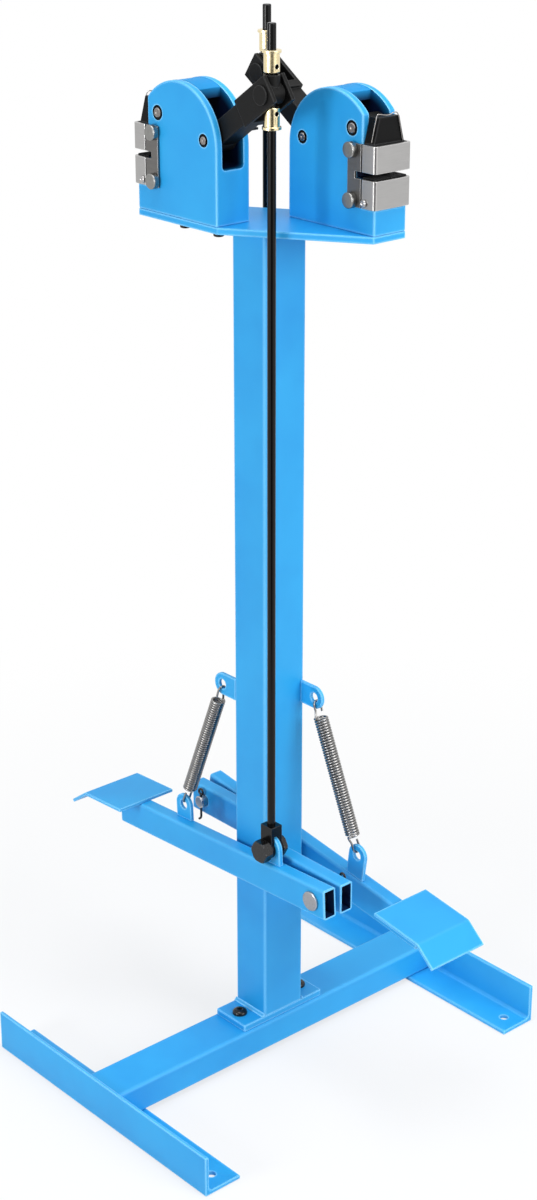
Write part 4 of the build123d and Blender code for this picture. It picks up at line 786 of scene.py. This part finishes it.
for side in SIDES:
    lever = dressed(f"lever_{side}_tube", f"lever_{side}", 0.7)
    use(lever, f"lever_{side}", [f"lever_{side}"], azure)
    level = to_level(side)
    # painted shade on the inner walls of the lever and the stub
    line_inside(lever, lambda place, facing: inner_wall(
        level @ (place * MM) / MM, level.to_3x3() @ facing), tube_painted_shade)
    stub = dressed(f"pivot_stub_{side}_tube", f"pivot_stub_{side}", 0.7)
    use(stub, "stand", [f"pivot_stub_{side}"], azure)
    middle = node_middle(f"pivot_stub_{side}")
    line_inside(stub, lambda place, facing: inner_wall(place - middle, facing), tube_painted_shade)
    collars = dressed(f"collars_{side}_look", f"collars_{side}", 0.4)
    use(collars, f"rod_{side}", [f"collars_{side}"], yellow_zinc)
    middle = node_middle(f"rod_{side}")
    # painted shade in the collars' screw holes
    line_inside(collars, lambda place, facing: screw_hole(place - middle, facing), recess_painted_shade)
print("inner faces painted:", sum(p.material_index for p in lever.data.polygons))

# %% [markdown]
# ## The two heads
#
# Each head is a thick casting with an arched top, a deep slot for the linkage, and a curved bridge
# that ties its two cheeks. It is cut from its side outline just as a machinist would: the slot leaves
# the bridge standing, the throat opens the jaws' bay, and each pin hole gets a counterbore.

# %% Heads
HEAD_BASE_Z, HEAD_LEDGE_Z = 1050.0, 1078.5
HEAD_CHEEK_FRONT_Y = 121.0
SLOT_HALF, SLOT_FLOOR_Z, SLOT_CORNER = 15.0, 1110.0, 5.0
BRIDGE_Y, BRIDGE_THICKNESS, BRIDGE_INSET = (43.0, 92.0), 10.0, 0.4
THROAT_BACK_Y, THROAT_Z = 112.5, (1109.5, 1117.5)
RECESS_DEPTH, RECESS_MARGIN = 2.0, 2.6
WIDE_CLEAR, CLEAR, NARROW_CLEAR = 8.0, 5.0, 3.0
PIN_PLACES = ((HANDLE_PIN_Y, HANDLE_PIN_Z, 4.5), (ROCKER_PIN_Y, ROCKER_PIN_Z, 5.5))
ARC_CENTRE = (HEAD_ARC_Y, HEAD_ARC_Z)


def arc_angle(y, radius):
    """Angle on the head's arc, in degrees, at a distance along Y."""
    return math.degrees(math.acos((y - HEAD_ARC_Y) / radius))


def make_head():
    """Left head with slot, bridge, throat and counterbored pin holes."""
    outline = [(HEAD_BACK, HEAD_BASE_Z), (HEAD_FRONT, HEAD_BASE_Z), (HEAD_FRONT, HEAD_LEDGE_Z),
               (HEAD_CHEEK_FRONT_Y, HEAD_LEDGE_Z)]
    outline += arc(ARC_CENTRE, HEAD_ARC_RADIUS, arc_angle(HEAD_CHEEK_FRONT_Y, HEAD_ARC_RADIUS), 180, 40)
    head = pushed("head_left_casting", "X", HEAD_OUTER_X, HEAD_INNER_X, outline, edge=1.7)
    above = HEAD_ARC_Z + HEAD_ARC_RADIUS + WIDE_CLEAR
    low_x, high_x = -SIDE_X - SLOT_HALF, -SIDE_X + SLOT_HALF
    section = arc((low_x + SLOT_CORNER, SLOT_FLOOR_Z + SLOT_CORNER), SLOT_CORNER, 180, 270, 6)
    section += arc((high_x - SLOT_CORNER, SLOT_FLOOR_Z + SLOT_CORNER), SLOT_CORNER, 270, 360, 6)
    section += [(high_x, above), (low_x, above)]
    slot = pushed("slot_tool", "Y", HEAD_BACK - WIDE_CLEAR, HEAD_FRONT + WIDE_CLEAR, section, edge=0)
    outer, inner = HEAD_ARC_RADIUS - BRIDGE_INSET, HEAD_ARC_RADIUS - BRIDGE_THICKNESS
    tie = arc(ARC_CENTRE, outer, arc_angle(BRIDGE_Y[1], outer), arc_angle(BRIDGE_Y[0], outer), 14)
    tie += arc(ARC_CENTRE, inner, arc_angle(BRIDGE_Y[0], inner), arc_angle(BRIDGE_Y[1], inner), 14)
    cut(slot, [pushed("bridge_tool", "X", low_x - NARROW_CLEAR, high_x + NARROW_CLEAR, tie, edge=0)])
    through = (HEAD_OUTER_X - CLEAR, HEAD_INNER_X + CLEAR)
    throat = pushed("throat_tool", "X", *through, rectangle(
        (THROAT_BACK_Y, THROAT_Z[0]), (HEAD_FRONT + CLEAR, THROAT_Z[1])), edge=0)
    tools = [slot, throat]
    for y, z, radius in PIN_PLACES:
        tools.append(hole_tool("X", *through, (y, z), radius, 32))
        for face, inward in ((HEAD_OUTER_X, 1), (HEAD_INNER_X, -1)):
            ends = sorted((face - inward * NARROW_CLEAR, face + inward * RECESS_DEPTH))
            tools.append(hole_tool("X", *ends, (y, z), radius + RECESS_MARGIN, 40))
    return cut(head, tools, edge=0.45, angle=40)


head_left = make_head()
head_right = twin(head_left, "head_right_casting")
print("head faces:", len(head_left.data.polygons))

# %% Paint of the heads, with painted shade in the slots and in the recesses
THROAT_SLACK, SLOT_SLACK, FLOOR_SLACK, RECESS_SLACK = 0.4, 0.05, 0.1, 0.1
THROAT_SIDE, CHEEK_FACE = 8.0, 1.0


def in_slot(place, facing):
    """Whether a face belongs to the slot or the throat."""
    across = abs(abs(place.x) - SIDE_X)
    throat = (THROAT_Z[0] - THROAT_SLACK < place.z < THROAT_Z[1] + THROAT_SLACK
              and abs(place.y) > THROAT_BACK_Y - THROAT_SLACK and across < SLOT_HALF + THROAT_SIDE)
    return throat or (across < SLOT_HALF + SLOT_SLACK and place.z > SLOT_FLOOR_Z - FLOOR_SLACK)


def in_recess(place, facing):
    """Whether a face belongs to a counterbore."""
    near = [math.hypot(abs(place.y) - y, place.z - z) < radius + RECESS_MARGIN + RECESS_SLACK
            for y, z, radius in PIN_PLACES]
    return any(near) and abs(abs(place.x) - SIDE_X) > SLOT_HALF + CHEEK_FACE


for side, head in (("left", head_left), ("right", head_right)):
    use(head, "stand", [f"head_{side}"], azure)
    # painted shade: slot and throat faces darken to near black inside, and the counterbores are near
    # black
    line_inside(head, in_slot, slot_painted_shade)
    line_inside(head, in_recess, recess_painted_shade)
print("faces inside:", sum(p.material_index > 0 for p in head_left.data.polygons))

# %% [markdown]
# ## Head pins
#
# The linkage turns on plain ground pins, pressed through both cheeks. A lathe leaves a small centre
# dimple in each end, so a pin is its half section turned about its own line.

# %% Handle and rocker pins
PIN_PROUD, PIN_BEVEL = 1.0, 0.8
DIMPLE_DEPTH, DIMPLE_SHARE = 1.4, 0.36
PIN_CLEARANCE = 0.01


def pin_profile(low, high, radius):
    """Half section of a pin with bevelled ends and a centre dimple in each."""
    return [(low + DIMPLE_DEPTH, 0), (low, radius * DIMPLE_SHARE), (low, radius - PIN_BEVEL),
            (low + PIN_BEVEL, radius), (high - PIN_BEVEL, radius), (high, radius - PIN_BEVEL),
            (high, radius * DIMPLE_SHARE), (high - DIMPLE_DEPTH, 0)]


for name, (y, z, radius) in zip(("handle_pins", "rocker_pins"), PIN_PLACES):
    profile = pin_profile(HEAD_OUTER_X - PIN_PROUD, HEAD_INNER_X + PIN_PROUD, radius - PIN_CLEARANCE)
    left_pin = turned(f"{name}_left", "X", (y, z), profile, 40)
    pair = joined(f"{name}_pair", [left_pin, twin(left_pin, f"{name}_right")])
    use(pair, "stand", [name], pin_steel)
    print(name, "faces:", len(pair.data.polygons))

# %% [markdown]
# ## Jaws, straps and covers
#
# Sheet metal enters the throat between two pairs of hardened jaws whose fine cross teeth grip it.
# Rolled steel straps and brushed channel covers hold the jaws in their bay. The teeth are one saw-tooth
# outline pushed through each block, and a cover is a channel section pushed up its height.

# %% Toothed jaws
JAW_BACK_Y, JAW_FRONT_Y = 121.4, 140.0
JAW_HALF, JAW_SPLIT = 23.1, 1.0
JAW_HEIGHT, LOWER_REACH, UPPER_REACH = 11.0, 2.0, 0.3
TEETH, TOOTH_DEPTH = 12, 0.8


def jaw_outline(face_z, body_z):
    """Side outline of a jaw block, with its saw teeth at the gripping face."""
    toward = 1 if body_z > face_z else -1
    pitch = (JAW_FRONT_Y - JAW_BACK_Y) / TEETH
    points = [(JAW_BACK_Y, body_z)]
    for tooth in range(TEETH):
        points.append((JAW_BACK_Y + tooth * pitch, face_z + toward * TOOTH_DEPTH))
        points.append((JAW_BACK_Y + (tooth + 0.5) * pitch, face_z))
    points.append((JAW_FRONT_Y, face_z + toward * TOOTH_DEPTH))
    points.append((JAW_FRONT_Y, body_z))
    return points


def jaw_pair(name, face_z, body_z):
    """Two jaw blocks side by side."""
    blocks = []
    for toward in (-1, 1):
        ends = sorted((-SIDE_X + toward * JAW_SPLIT / 2, -SIDE_X + toward * JAW_HALF))
        blocks.append(pushed(f"{name}_{toward}", "X", *ends, jaw_outline(face_z, body_z), edge=0.2,
                             steps=1))
    return joined(name, blocks)


lower = jaw_pair("jaws_lower_left", THROAT_Z[0] + LOWER_REACH, THROAT_Z[0] - JAW_HEIGHT)
lower_pair = joined("jaws_lower_teeth", [lower, twin(lower, "jaws_lower_right")])
use(lower_pair, "stand", ["jaws_lower"], black_jaw)
upper = jaw_pair("jaws_upper_left_teeth", THROAT_Z[1] - UPPER_REACH, THROAT_Z[1] + JAW_HEIGHT)
upper_right = twin(upper, "jaws_upper_right_teeth")
use(upper, "jaw_left", ["jaws_upper_left"], black_jaw)
use(upper_right, "jaw_right", ["jaws_upper_right"], black_jaw)
for side in SIDES:
    dress([f"jaw_holder_{side}"], f"jaw_{side}", black_jaw, edge=0.7)
print("teeth on each jaw:", TEETH)

# %% Straps and covers
STRAP_BACK_Y, STRAP_FRONT_Y, STRAP_TOP_Z = 101.0, 121.6, 1146.0
STRAP_THICKNESS, COVER_GAP, COVER_CORNER = 3.0, 1.6, 3.6
COVER_LAP = 0.6
UPPER_COVER = (THROAT_Z[1] - COVER_LAP, STRAP_TOP_Z)
LOWER_COVER = (HEAD_LEDGE_Z, THROAT_Z[0])


def make_strap(name, toward):
    """Flat strap beside the jaw bay, notched for the sheet metal."""
    face = -SIDE_X + toward * (SIDE_X + HEAD_INNER_X)
    notch_low, notch_high = LOWER_COVER[1], UPPER_COVER[0]
    outline = [(STRAP_BACK_Y, HEAD_LEDGE_Z), (STRAP_FRONT_Y, HEAD_LEDGE_Z),
               (STRAP_FRONT_Y, notch_low), (THROAT_BACK_Y, notch_low),
               (THROAT_BACK_Y, notch_high), (STRAP_FRONT_Y, notch_high),
               (STRAP_FRONT_Y, STRAP_TOP_Z), (STRAP_BACK_Y, STRAP_TOP_Z)]
    return pushed(name, "X", *sorted((face, face + toward * STRAP_THICKNESS)), outline, edge=0.4)


def make_cover(name, low, high):
    """Channel cover whose two flanges meet the straps."""
    inner_half, inner_front = SIDE_X + HEAD_INNER_X, HEAD_FRONT
    half, front = inner_half + STRAP_THICKNESS, inner_front + STRAP_THICKNESS
    back = STRAP_FRONT_Y + COVER_GAP
    outline = [(-half, back)]
    outline += arc((-half + COVER_CORNER, front - COVER_CORNER), COVER_CORNER, 180, 90, 8)
    outline += arc((half - COVER_CORNER, front - COVER_CORNER), COVER_CORNER, 90, 0, 8)
    outline += [(half, back), (inner_half, back), (inner_half, inner_front),
                (-inner_half, inner_front), (-inner_half, back)]
    return pushed(name, "Z", low, high, [(x - SIDE_X, y) for x, y in outline], edge=0.5)


straps = [make_strap(f"strap_{toward}", toward) for toward in (-1, 1)]
straps += [twin(strap, strap.name + "_right") for strap in straps]
use(joined("jaw_straps_bar", straps), "stand", ["jaw_straps"], strap_steel_painted_shade)
covers = [make_cover("cover_upper", *UPPER_COVER), make_cover("cover_lower", *LOWER_COVER)]
covers += [twin(cover, cover.name + "_right") for cover in covers]
use(joined("jaw_caps_channel", covers), "stand", ["jaw_caps"], brushed_steel)
print("covers from", LOWER_COVER[0], "to", UPPER_COVER[1])

# %% [markdown]
# ## Screws set by Geometry Nodes
#
# The same screw is used many times. Each kind is turned once, and a small Geometry Nodes tree sets it
# on every place: a point for the seat and a vector for the way the head faces.

# %% A tree that sets one fastener on many places
def new_tree(name, inputs):
    """A Geometry Nodes tree with named inputs that ends in plain mesh with a material."""
    tree = bpy.data.node_groups.new(name, "GeometryNodeTree")
    for label, kind in inputs:
        tree.interface.new_socket(label, in_out="INPUT", socket_type="NodeSocket" + kind)
    tree.interface.new_socket("Geometry", in_out="OUTPUT", socket_type="NodeSocketGeometry")
    start = tree.nodes.new("NodeGroupInput")
    end = tree.nodes.new("NodeGroupOutput")
    real = tree.nodes.new("GeometryNodeRealizeInstances")
    finish = tree.nodes.new("GeometryNodeSetMaterial")
    link_up(tree, (real, "Geometry", finish, "Geometry"), (start, "Material", finish, "Material"),
            (finish, "Geometry", end, "Geometry"))
    return tree, start, real


def make_set_tree():
    """Points with an outward vector to real copies of one fastener."""
    tree, start, real = new_tree("set_fasteners", [("Geometry", "Geometry"), ("Fastener", "Object"),
                                                   ("Size", "Float"), ("Material", "Material")])
    source = tree.nodes.new("GeometryNodeObjectInfo")
    outward = add_node(tree, "GeometryNodeInputNamedAttribute", data_type="FLOAT_VECTOR",
                       Name="outward")
    aim = add_node(tree, "FunctionNodeAlignRotationToVector", axis="Z")
    copies = tree.nodes.new("GeometryNodeInstanceOnPoints")
    link_up(tree, (start, "Fastener", source, "Object"), (outward, "Attribute", aim, "Vector"),
            (start, "Geometry", copies, "Points"), (source, "Geometry", copies, "Instance"),
            (aim, "Rotation", copies, "Rotation"), (start, "Size", copies, "Scale"),
            (copies, "Instances", real, "Geometry"))
    return tree


def run_tree(piece, tree, **values):
    """Run a tree on a piece with its named inputs, and keep the plain mesh that it gives."""
    modifier = piece.modifiers.new(tree.name, "NODES")
    modifier.node_group = tree
    for item in tree.interface.items_tree:
        if item.item_type == "SOCKET" and item.name in values:
            modifier[item.identifier] = values[item.name]
    return settle(piece)


set_tree = make_set_tree()
print("fastener tree nodes:", len(set_tree.nodes))

# %% Fasteners on their places
def set_on(name, fastener, places, material):
    """Real copies of a fastener on (place in millimetres, outward direction) pairs."""
    builder = bmesh.new()
    outward = builder.verts.layers.float_vector.new("outward")
    for place, direction in places:
        builder.verts.new(Vector(place) * MM)[outward] = Vector(direction)
    piece = as_object(name, builder)
    run_tree(piece, set_tree, Fastener=fastener, Size=1.0, Material=material)
    bpy.data.objects.remove(fastener)
    return piece


def both_ways(places):
    """The left-hand places and their half-turned twins."""
    return places + [((-x, -y, z), (-a, -b, c)) for (x, y, z), (a, b, c) in places]


print("turned twin of (1, 2, 3):", both_ways([((1, 2, 3), (1, 0, 0))])[1][0])

# %% Two kinds of screw
DISC_BEVEL, ROUND_BEVEL = 0.5, 0.4
SOCKET_LIP, SOCKET_BEVEL, SOCKET_DEPTH = 0.6, 0.3, 0.7


def disc_screw(name, radius, height, edge, shank_radius, shank):
    """Flat disc head on a plain shank, with its seat at the origin and its head toward +Z."""
    profile = [(-shank, 0), (-shank, shank_radius), (0, shank_radius), (0, radius - DISC_BEVEL),
               (DISC_BEVEL, radius)]
    profile += [(height - edge + edge * math.sin(math.radians(a)),
                 radius - edge + edge * math.cos(math.radians(a))) for a in range(0, 91, 18)]
    profile += [(height, 0)]
    return turned(name, "Z", (0, 0), profile, 56)


def socket_screw(name, radius, height, dome, socket, shank_radius, shank):
    """Round head with a domed top and a round socket, seat at the origin."""
    lip = socket + SOCKET_LIP
    floor_height = height - dome * SOCKET_DEPTH
    profile = [(-shank, 0), (-shank, shank_radius), (0, shank_radius), (0, radius - ROUND_BEVEL),
               (ROUND_BEVEL, radius), (height - dome, radius)]
    profile += [(height - dome + dome * math.sin(math.radians(a)),
                 lip + (radius - lip) * math.cos(math.radians(a))) for a in range(15, 91, 15)]
    profile += [(height - SOCKET_BEVEL, socket), (floor_height, socket), (floor_height, 0)]
    return turned(name, "Z", (0, 0), profile, 48)


print("screw kinds:", disc_screw.__name__, socket_screw.__name__)

# %% Screws of the straps and covers
STRAP_SCREW_Y, STRAP_SCREW_Z = 108.0, (1085.5, 1139.0)
STRAP_FACES = ((HEAD_OUTER_X - STRAP_THICKNESS, -1), (HEAD_INNER_X + STRAP_THICKNESS, 1))
strap_places = [((face, STRAP_SCREW_Y, z), (toward, 0, 0))
                for face, toward in STRAP_FACES for z in STRAP_SCREW_Z]
strap_screw = disc_screw("strap_screw", radius=8.75, height=6.5, edge=1.4, shank_radius=3.4,
                         shank=13.0)
strap_screws = set_on("strap_screws_set", strap_screw, both_ways(strap_places), plain_screw)
use(strap_screws, "stand", ["strap_screws"])

COVER_SCREW_Y, COVER_SCREW_Z = 127.5, 1084.5
cover_screw = socket_screw("cover_screw", radius=4.1, height=2.8, dome=1.4, socket=1.5,
                           shank_radius=1.5, shank=2.5)
cover_places = [((face, COVER_SCREW_Y, COVER_SCREW_Z), (toward, 0, 0))
                for face, toward in STRAP_FACES]
cover_screws = set_on("cover_screws_set", cover_screw, both_ways(cover_places), zinc_screw)
use(cover_screws, "stand", [])
print("screws on each side:", len(strap_places) + len(cover_places))

# %% Bolts of the post's foot and of the heads
BASE_BOLT_X = 49.0
base_bolt = socket_screw("base_bolt", radius=9.25, height=6.0, dome=4.0, socket=3.0,
                         shank_radius=4.9, shank=22.0)
plate_top = node_box("post_base_plate")[1].z
base_places = [((-BASE_BOLT_X, 0, plate_top), (0, 0, 1))]
base_bolts = set_on("base_bolts_set", base_bolt, both_ways(base_places), black_screw)
use(base_bolts, "stand", ["base_bolts"])

HEAD_BOLT_X, HEAD_BOLT_Y = (37.5, 60.0), (15.0, 72.0)
head_bolt = socket_screw("head_bolt", radius=6.0, height=5.0, dome=1.5, socket=2.6,
                         shank_radius=3.9, shank=20.0)
plate_under = node_box("top_plate")[0].z
head_places = [((-x, y, plate_under), (0, 0, -1)) for x in HEAD_BOLT_X for y in HEAD_BOLT_Y]
head_bolts = set_on("head_bolts_set", head_bolt, both_ways(head_places), black_screw)
use(head_bolts, "stand", ["head_bolts"])
print("bolts on each side:", len(base_places) + len(head_places))

# %% [markdown]
# ## Return springs
#
# An extension spring is one wire: a hook, a close coil and a second hook. The wire's middle line is
# computed once and a small Geometry Nodes tree runs a round section along it. The same tree makes the
# wire bails of the jaws.

# %% A tree that runs a round section along a line
def make_wire_tree():
    """Mesh edges to a round wire of a given radius, settled to plain mesh with a material."""
    tree, start, real = new_tree("round_wire", [("Geometry", "Geometry"), ("Radius", "Float"),
                                                ("Sides", "Int"), ("Material", "Material")])
    path = tree.nodes.new("GeometryNodeMeshToCurve")
    section = tree.nodes.new("GeometryNodeCurvePrimitiveCircle")
    sweep = tree.nodes.new("GeometryNodeCurveToMesh")
    sweep.inputs["Fill Caps"].default_value = True
    smooth = tree.nodes.new("GeometryNodeSetShadeSmooth")
    link_up(tree, (start, "Geometry", path, "Mesh"), (start, "Radius", section, "Radius"),
            (start, "Sides", section, "Resolution"), (path, "Curve", sweep, "Curve"),
            (section, "Curve", sweep, "Profile Curve"), (sweep, "Mesh", smooth, "Geometry"),
            (smooth, "Geometry", real, "Geometry"))
    return tree


wire_tree = make_wire_tree()


def wire(name, points, diameter, material, sides):
    """A round wire through points in millimetres, as plain mesh."""
    builder = bmesh.new()
    corners = [builder.verts.new(Vector(point) * MM) for point in points]
    for first, second in zip(corners, corners[1:]):
        builder.edges.new((first, second))
    return run_tree(as_object(name, builder), wire_tree, Radius=diameter / 2 * MM, Sides=sides,
                    Material=material)


print("wire tree nodes:", len(wire_tree.nodes))

# %% Springs between the post tabs and the lever tabs
SPRING_WIRE, COIL_RADIUS, COIL_PITCH, STEPS_PER_COIL = 2.7, 7.6, 3.3, 22
HOOK_LENGTH, HOOK_RADIUS, HOOK_TOP, HOOK_STRAIGHT = 25.5, 5.0, 4.4, 15.0
HOOK_TIP_IN, HOOK_TIP_SHORT, HOOK_BACK = 0.6, 6.5, 13.0
NECK_STEPS = 9
TAB_ALONG, TAB_SIDE = 249.0, -41.75
TAB_ABOVE = {"left": 38.0, "right": 49.5}
POST_HOLE = Vector((-27.95, 51.0, 482.0))


def spring_line(length):
    """Middle line of the wire along +Z from one tab hole to the other."""
    hook = [(-HOOK_RADIUS + HOOK_TIP_IN, 0, HOOK_LENGTH - HOOK_TIP_SHORT),
            (-HOOK_RADIUS, 0, HOOK_BACK)]
    hook += [(a, 0, h) for a, h in arc((0, HOOK_TOP + HOOK_RADIUS), HOOK_RADIUS, 180, 360, 16)]
    hook += [(HOOK_RADIUS, 0, HOOK_STRAIGHT)]
    for step in range(1, NECK_STEPS):
        part = step / NECK_STEPS
        swing = 3 * part ** 2 - 2 * part ** 3
        hook.append((HOOK_RADIUS + (COIL_RADIUS - HOOK_RADIUS) * swing, 0,
                     HOOK_STRAIGHT + (HOOK_LENGTH - HOOK_STRAIGHT) * part))
    coils = round((length - 2 * HOOK_LENGTH) / COIL_PITCH)
    rise = (length - 2 * HOOK_LENGTH) / coils
    coil = [(COIL_RADIUS * math.cos(2 * math.pi * k / STEPS_PER_COIL),
             COIL_RADIUS * math.sin(2 * math.pi * k / STEPS_PER_COIL),
             HOOK_LENGTH + rise * k / STEPS_PER_COIL) for k in range(coils * STEPS_PER_COIL + 1)]
    return hook + coil + [(a, -b, length - h) for a, b, h in reversed(hook)]


def make_spring(side):
    """Spring from the post tab to this side's lever tab."""
    turn = SIDE_TURN[side]
    slope = math.radians(LEVER_SLOPE[side])
    height = TAB_ABOVE[side]
    tab = Vector((TAB_SIDE, PIVOT_Y + TAB_ALONG * math.cos(slope) + height * math.sin(slope),
                  PIVOT_Z - TAB_ALONG * math.sin(slope) + height * math.cos(slope)))
    span = tab - POST_HOLE
    along = span.normalized()
    across = Vector((1, 0, 0)) - along * along.x
    across.normalize()
    beside = along.cross(across)
    points = [POST_HOLE + across * a + beside * b + along * h
              for a, b, h in spring_line(span.length)]
    piece = placed(wire(f"spring_{side}_wire", points, SPRING_WIRE, oiled_spring, 12), turn)
    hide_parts(f"spring_{side}")
    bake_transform(piece)
    return piece


for side in SIDES:
    spring = make_spring(side)
    print(spring.name, "faces:", len(spring.data.polygons))

# %% [markdown]
# ## Small parts round the jaws
#
# A bent wire bail stands over each jaw holder and keeps the upper jaw from tipping, and a stop lug on
# the left arm rests above the mouth of the slot. The bail is a rounded line with the wire tree run
# along it, and the lug is a small plate.

# %% Wire bails and the stop lug
BAIL_WIRE = 1.1
BAIL_CORNERS = ((-26.5, 131.5, 1147.0), (-27.0, 137.6, 1177.5), (-30.0, 138.0, 1178.6),
                (-44.0, 138.0, 1175.4), (-52.5, 138.0, 1178.6), (-58.5, 138.0, 1177.2),
                (-62.0, 137.8, 1163.0), (-66.5, 137.0, 1147.0))
BAIL_ROUNDING = 8


def rounded_line(corners, rounding):
    """A smooth line that bends near its corners: a quadratic spline read at even steps."""
    middles = [corners[0]] + [(a + b) / 2 for a, b in zip(corners[1:-2], corners[2:-1])]
    middles.append(corners[-1])
    line = []
    for index, corner in enumerate(corners[1:-1]):
        start, end = middles[index], middles[index + 1]
        for step in range(rounding):
            part = step / rounding
            line.append(start * (1 - part) ** 2 + corner * 2 * part * (1 - part) + end * part ** 2)
    return line + [corners[-1]]


for side in SIDES:
    line = rounded_line([Vector(corner) for corner in BAIL_CORNERS], BAIL_ROUNDING)
    bail = placed(wire(f"bail_{side}_wire", line, BAIL_WIRE, pin_steel, 10), SIDE_TURN[side])
    use(bail, f"jaw_{side}", [])

LUG_X, LUG_Y, LUG_Z = (-36.5, -19.0), (-4.0, 4.0), (1150.4, 1153.0)
lug = pushed("stop_lug_left", "X", *LUG_X, rectangle((LUG_Y[0], LUG_Z[0]), (LUG_Y[1], LUG_Z[1])),
             edge=0.4)
use(lug, "arm_left", [], black_forged)
print("bail points:", len(line))

# %% [markdown]
# ## Studio
#
# A catalogue picture is lit by large soft boxes so that paint shows its own colour: the main one
# stands in front, a nearer one at the left falls off down the post, and one hangs over the top. The
# floor keeps a soft shadow near the machine, and farther away the camera sees it as plain white. A
# dark card that only reflections see gives the polished steel something dark to mirror.

# %% Floor and backdrop
scene = bpy.context.scene
scene.view_settings.view_transform = "Standard"
WHITE = (1.0, 1.0, 1.0, 1.0)
FLOOR_GREY = (0.80, 0.80, 0.80, 1.0)
FLOOR_GLOW, FLOOR_FADE_START, FLOOR_FADE_END = 0.70, 0.35, 1.3
FLOOR_HALF, FLOOR_DROP = 30.0, 0.0006
SKY_COLOUR, SKY_LEVEL = (0.80, 0.89, 1.0, 1.0), 0.42


def seen_directly(tree):
    """1 for rays from the camera, also by way of a reflection or through glass."""
    path = tree.nodes.new("ShaderNodeLightPath")
    first = add_node(tree, "ShaderNodeMath", operation="MAXIMUM")
    second = add_node(tree, "ShaderNodeMath", operation="MAXIMUM")
    link_up(tree, (path, "Is Camera Ray", first, 0), (path, "Is Glossy Ray", first, 1),
            (first, "Value", second, 0), (path, "Is Transmission Ray", second, 1))
    return second


def make_floor_paint():
    """Pale floor with its shadow near the machine, fading to the white of the backdrop."""
    material = bpy.data.materials.new("studio_floor")
    material.use_nodes = True
    tree = material.node_tree
    tree.nodes.clear()
    out = tree.nodes.new("ShaderNodeOutputMaterial")
    diffuse = add_node(tree, "ShaderNodeBsdfDiffuse", Color=FLOOR_GREY)
    glow = add_node(tree, "ShaderNodeEmission", Color=WHITE)
    place = tree.nodes.new("ShaderNodeTexCoord")
    away = add_node(tree, "ShaderNodeVectorMath", operation="LENGTH")
    fade = add_node(tree, "ShaderNodeMapRange", interpolation_type="SMOOTHSTEP",
                    From_Min=FLOOR_FADE_START, From_Max=FLOOR_FADE_END, To_Min=FLOOR_GLOW)
    share = add_node(tree, "ShaderNodeMath", operation="MULTIPLY")
    mix = tree.nodes.new("ShaderNodeMixShader")
    link_up(tree, (place, "Object", away, 0), (away, "Value", fade, "Value"),
            (fade, "Result", share, 0), (seen_directly(tree), "Value", share, 1),
            (share, "Value", mix, 0), (diffuse, "BSDF", mix, 1), (glow, "Emission", mix, 2),
            (mix, "Shader", out, "Surface"))
    return material


floor_mesh = bmesh.new()
bmesh.ops.create_grid(floor_mesh, x_segments=1, y_segments=1, size=FLOOR_HALF)
floor = as_object("studio_floor", floor_mesh)
floor.data.materials.append(make_floor_paint())
floor.data.transform(Matrix.Translation((0, 0, -FLOOR_DROP)))

world = bpy.data.worlds.new("studio_world")
scene.world = world
world.use_nodes = True
world_tree = world.node_tree
soft = world_tree.nodes["Background"]
soft.inputs["Color"].default_value = SKY_COLOUR
soft.inputs["Strength"].default_value = SKY_LEVEL
seen = add_node(world_tree, "ShaderNodeBackground", Color=WHITE)
choose = world_tree.nodes.new("ShaderNodeMixShader")
link_up(world_tree, (seen_directly(world_tree), "Value", choose, 0), (soft, "Background", choose, 1),
        (seen, "Background", choose, 2), (choose, "Shader", world_tree.nodes["World Output"], "Surface"))
print("backdrop ready")


# %% Soft boxes
def soft_box(name, place, target, size, power):
    """A large square area light aimed at a point."""
    data = bpy.data.lights.new(name, "AREA")
    data.shape = "RECTANGLE"
    data.size = data.size_y = size
    data.energy = power
    light = bpy.data.objects.new(name, data)
    bpy.context.scene.collection.objects.link(light)
    light.location = place
    aim = Vector(target) - Vector(place)
    light.rotation_euler = aim.to_track_quat("-Z", "Y").to_euler()


soft_box("left_box", (-2.6, 0.02, 1.12), (0, 0, 0.8), size=0.7, power=30)
soft_box("front_box", (0.9, -4.2, 2.3), (0, 0, 0.7), size=2.4, power=125)
soft_box("top_box", (-0.2, -0.3, 4.0), (0, 0, 0.4), size=2.6, power=93)


# %% A dark card seen only in reflections
CARD_REACH, CARD_HEIGHT = 1.3, 1.15
CARD_START, CARD_END, CARD_STEP = -14, 26, 5
CARD_BLACK = (0.006, 0.006, 0.006)
FACING_CAMERA = math.degrees(math.atan2(toward_camera.y, toward_camera.x))
card_paint = start_material("studio_card", CARD_BLACK, 0.9, shine=0.0)[0]
card_mesh = bmesh.new()
rows = []
for angle in range(CARD_START, CARD_END + 1, CARD_STEP):
    turn = math.radians(FACING_CAMERA + angle)
    place = Vector((CARD_REACH * math.cos(turn), CARD_REACH * math.sin(turn), 0.0))
    rows.append([card_mesh.verts.new(place + Vector((0, 0, z))) for z in (0.0, CARD_HEIGHT)])
for (a, b), (c, d) in zip(rows, rows[1:]):
    card_mesh.faces.new((a, b, d, c))
card = as_object("studio_card_front", card_mesh)
card.data.materials.append(card_paint)
card.visible_camera = card.visible_diffuse = card.visible_shadow = False
print("card faces:", len(card.data.polygons))
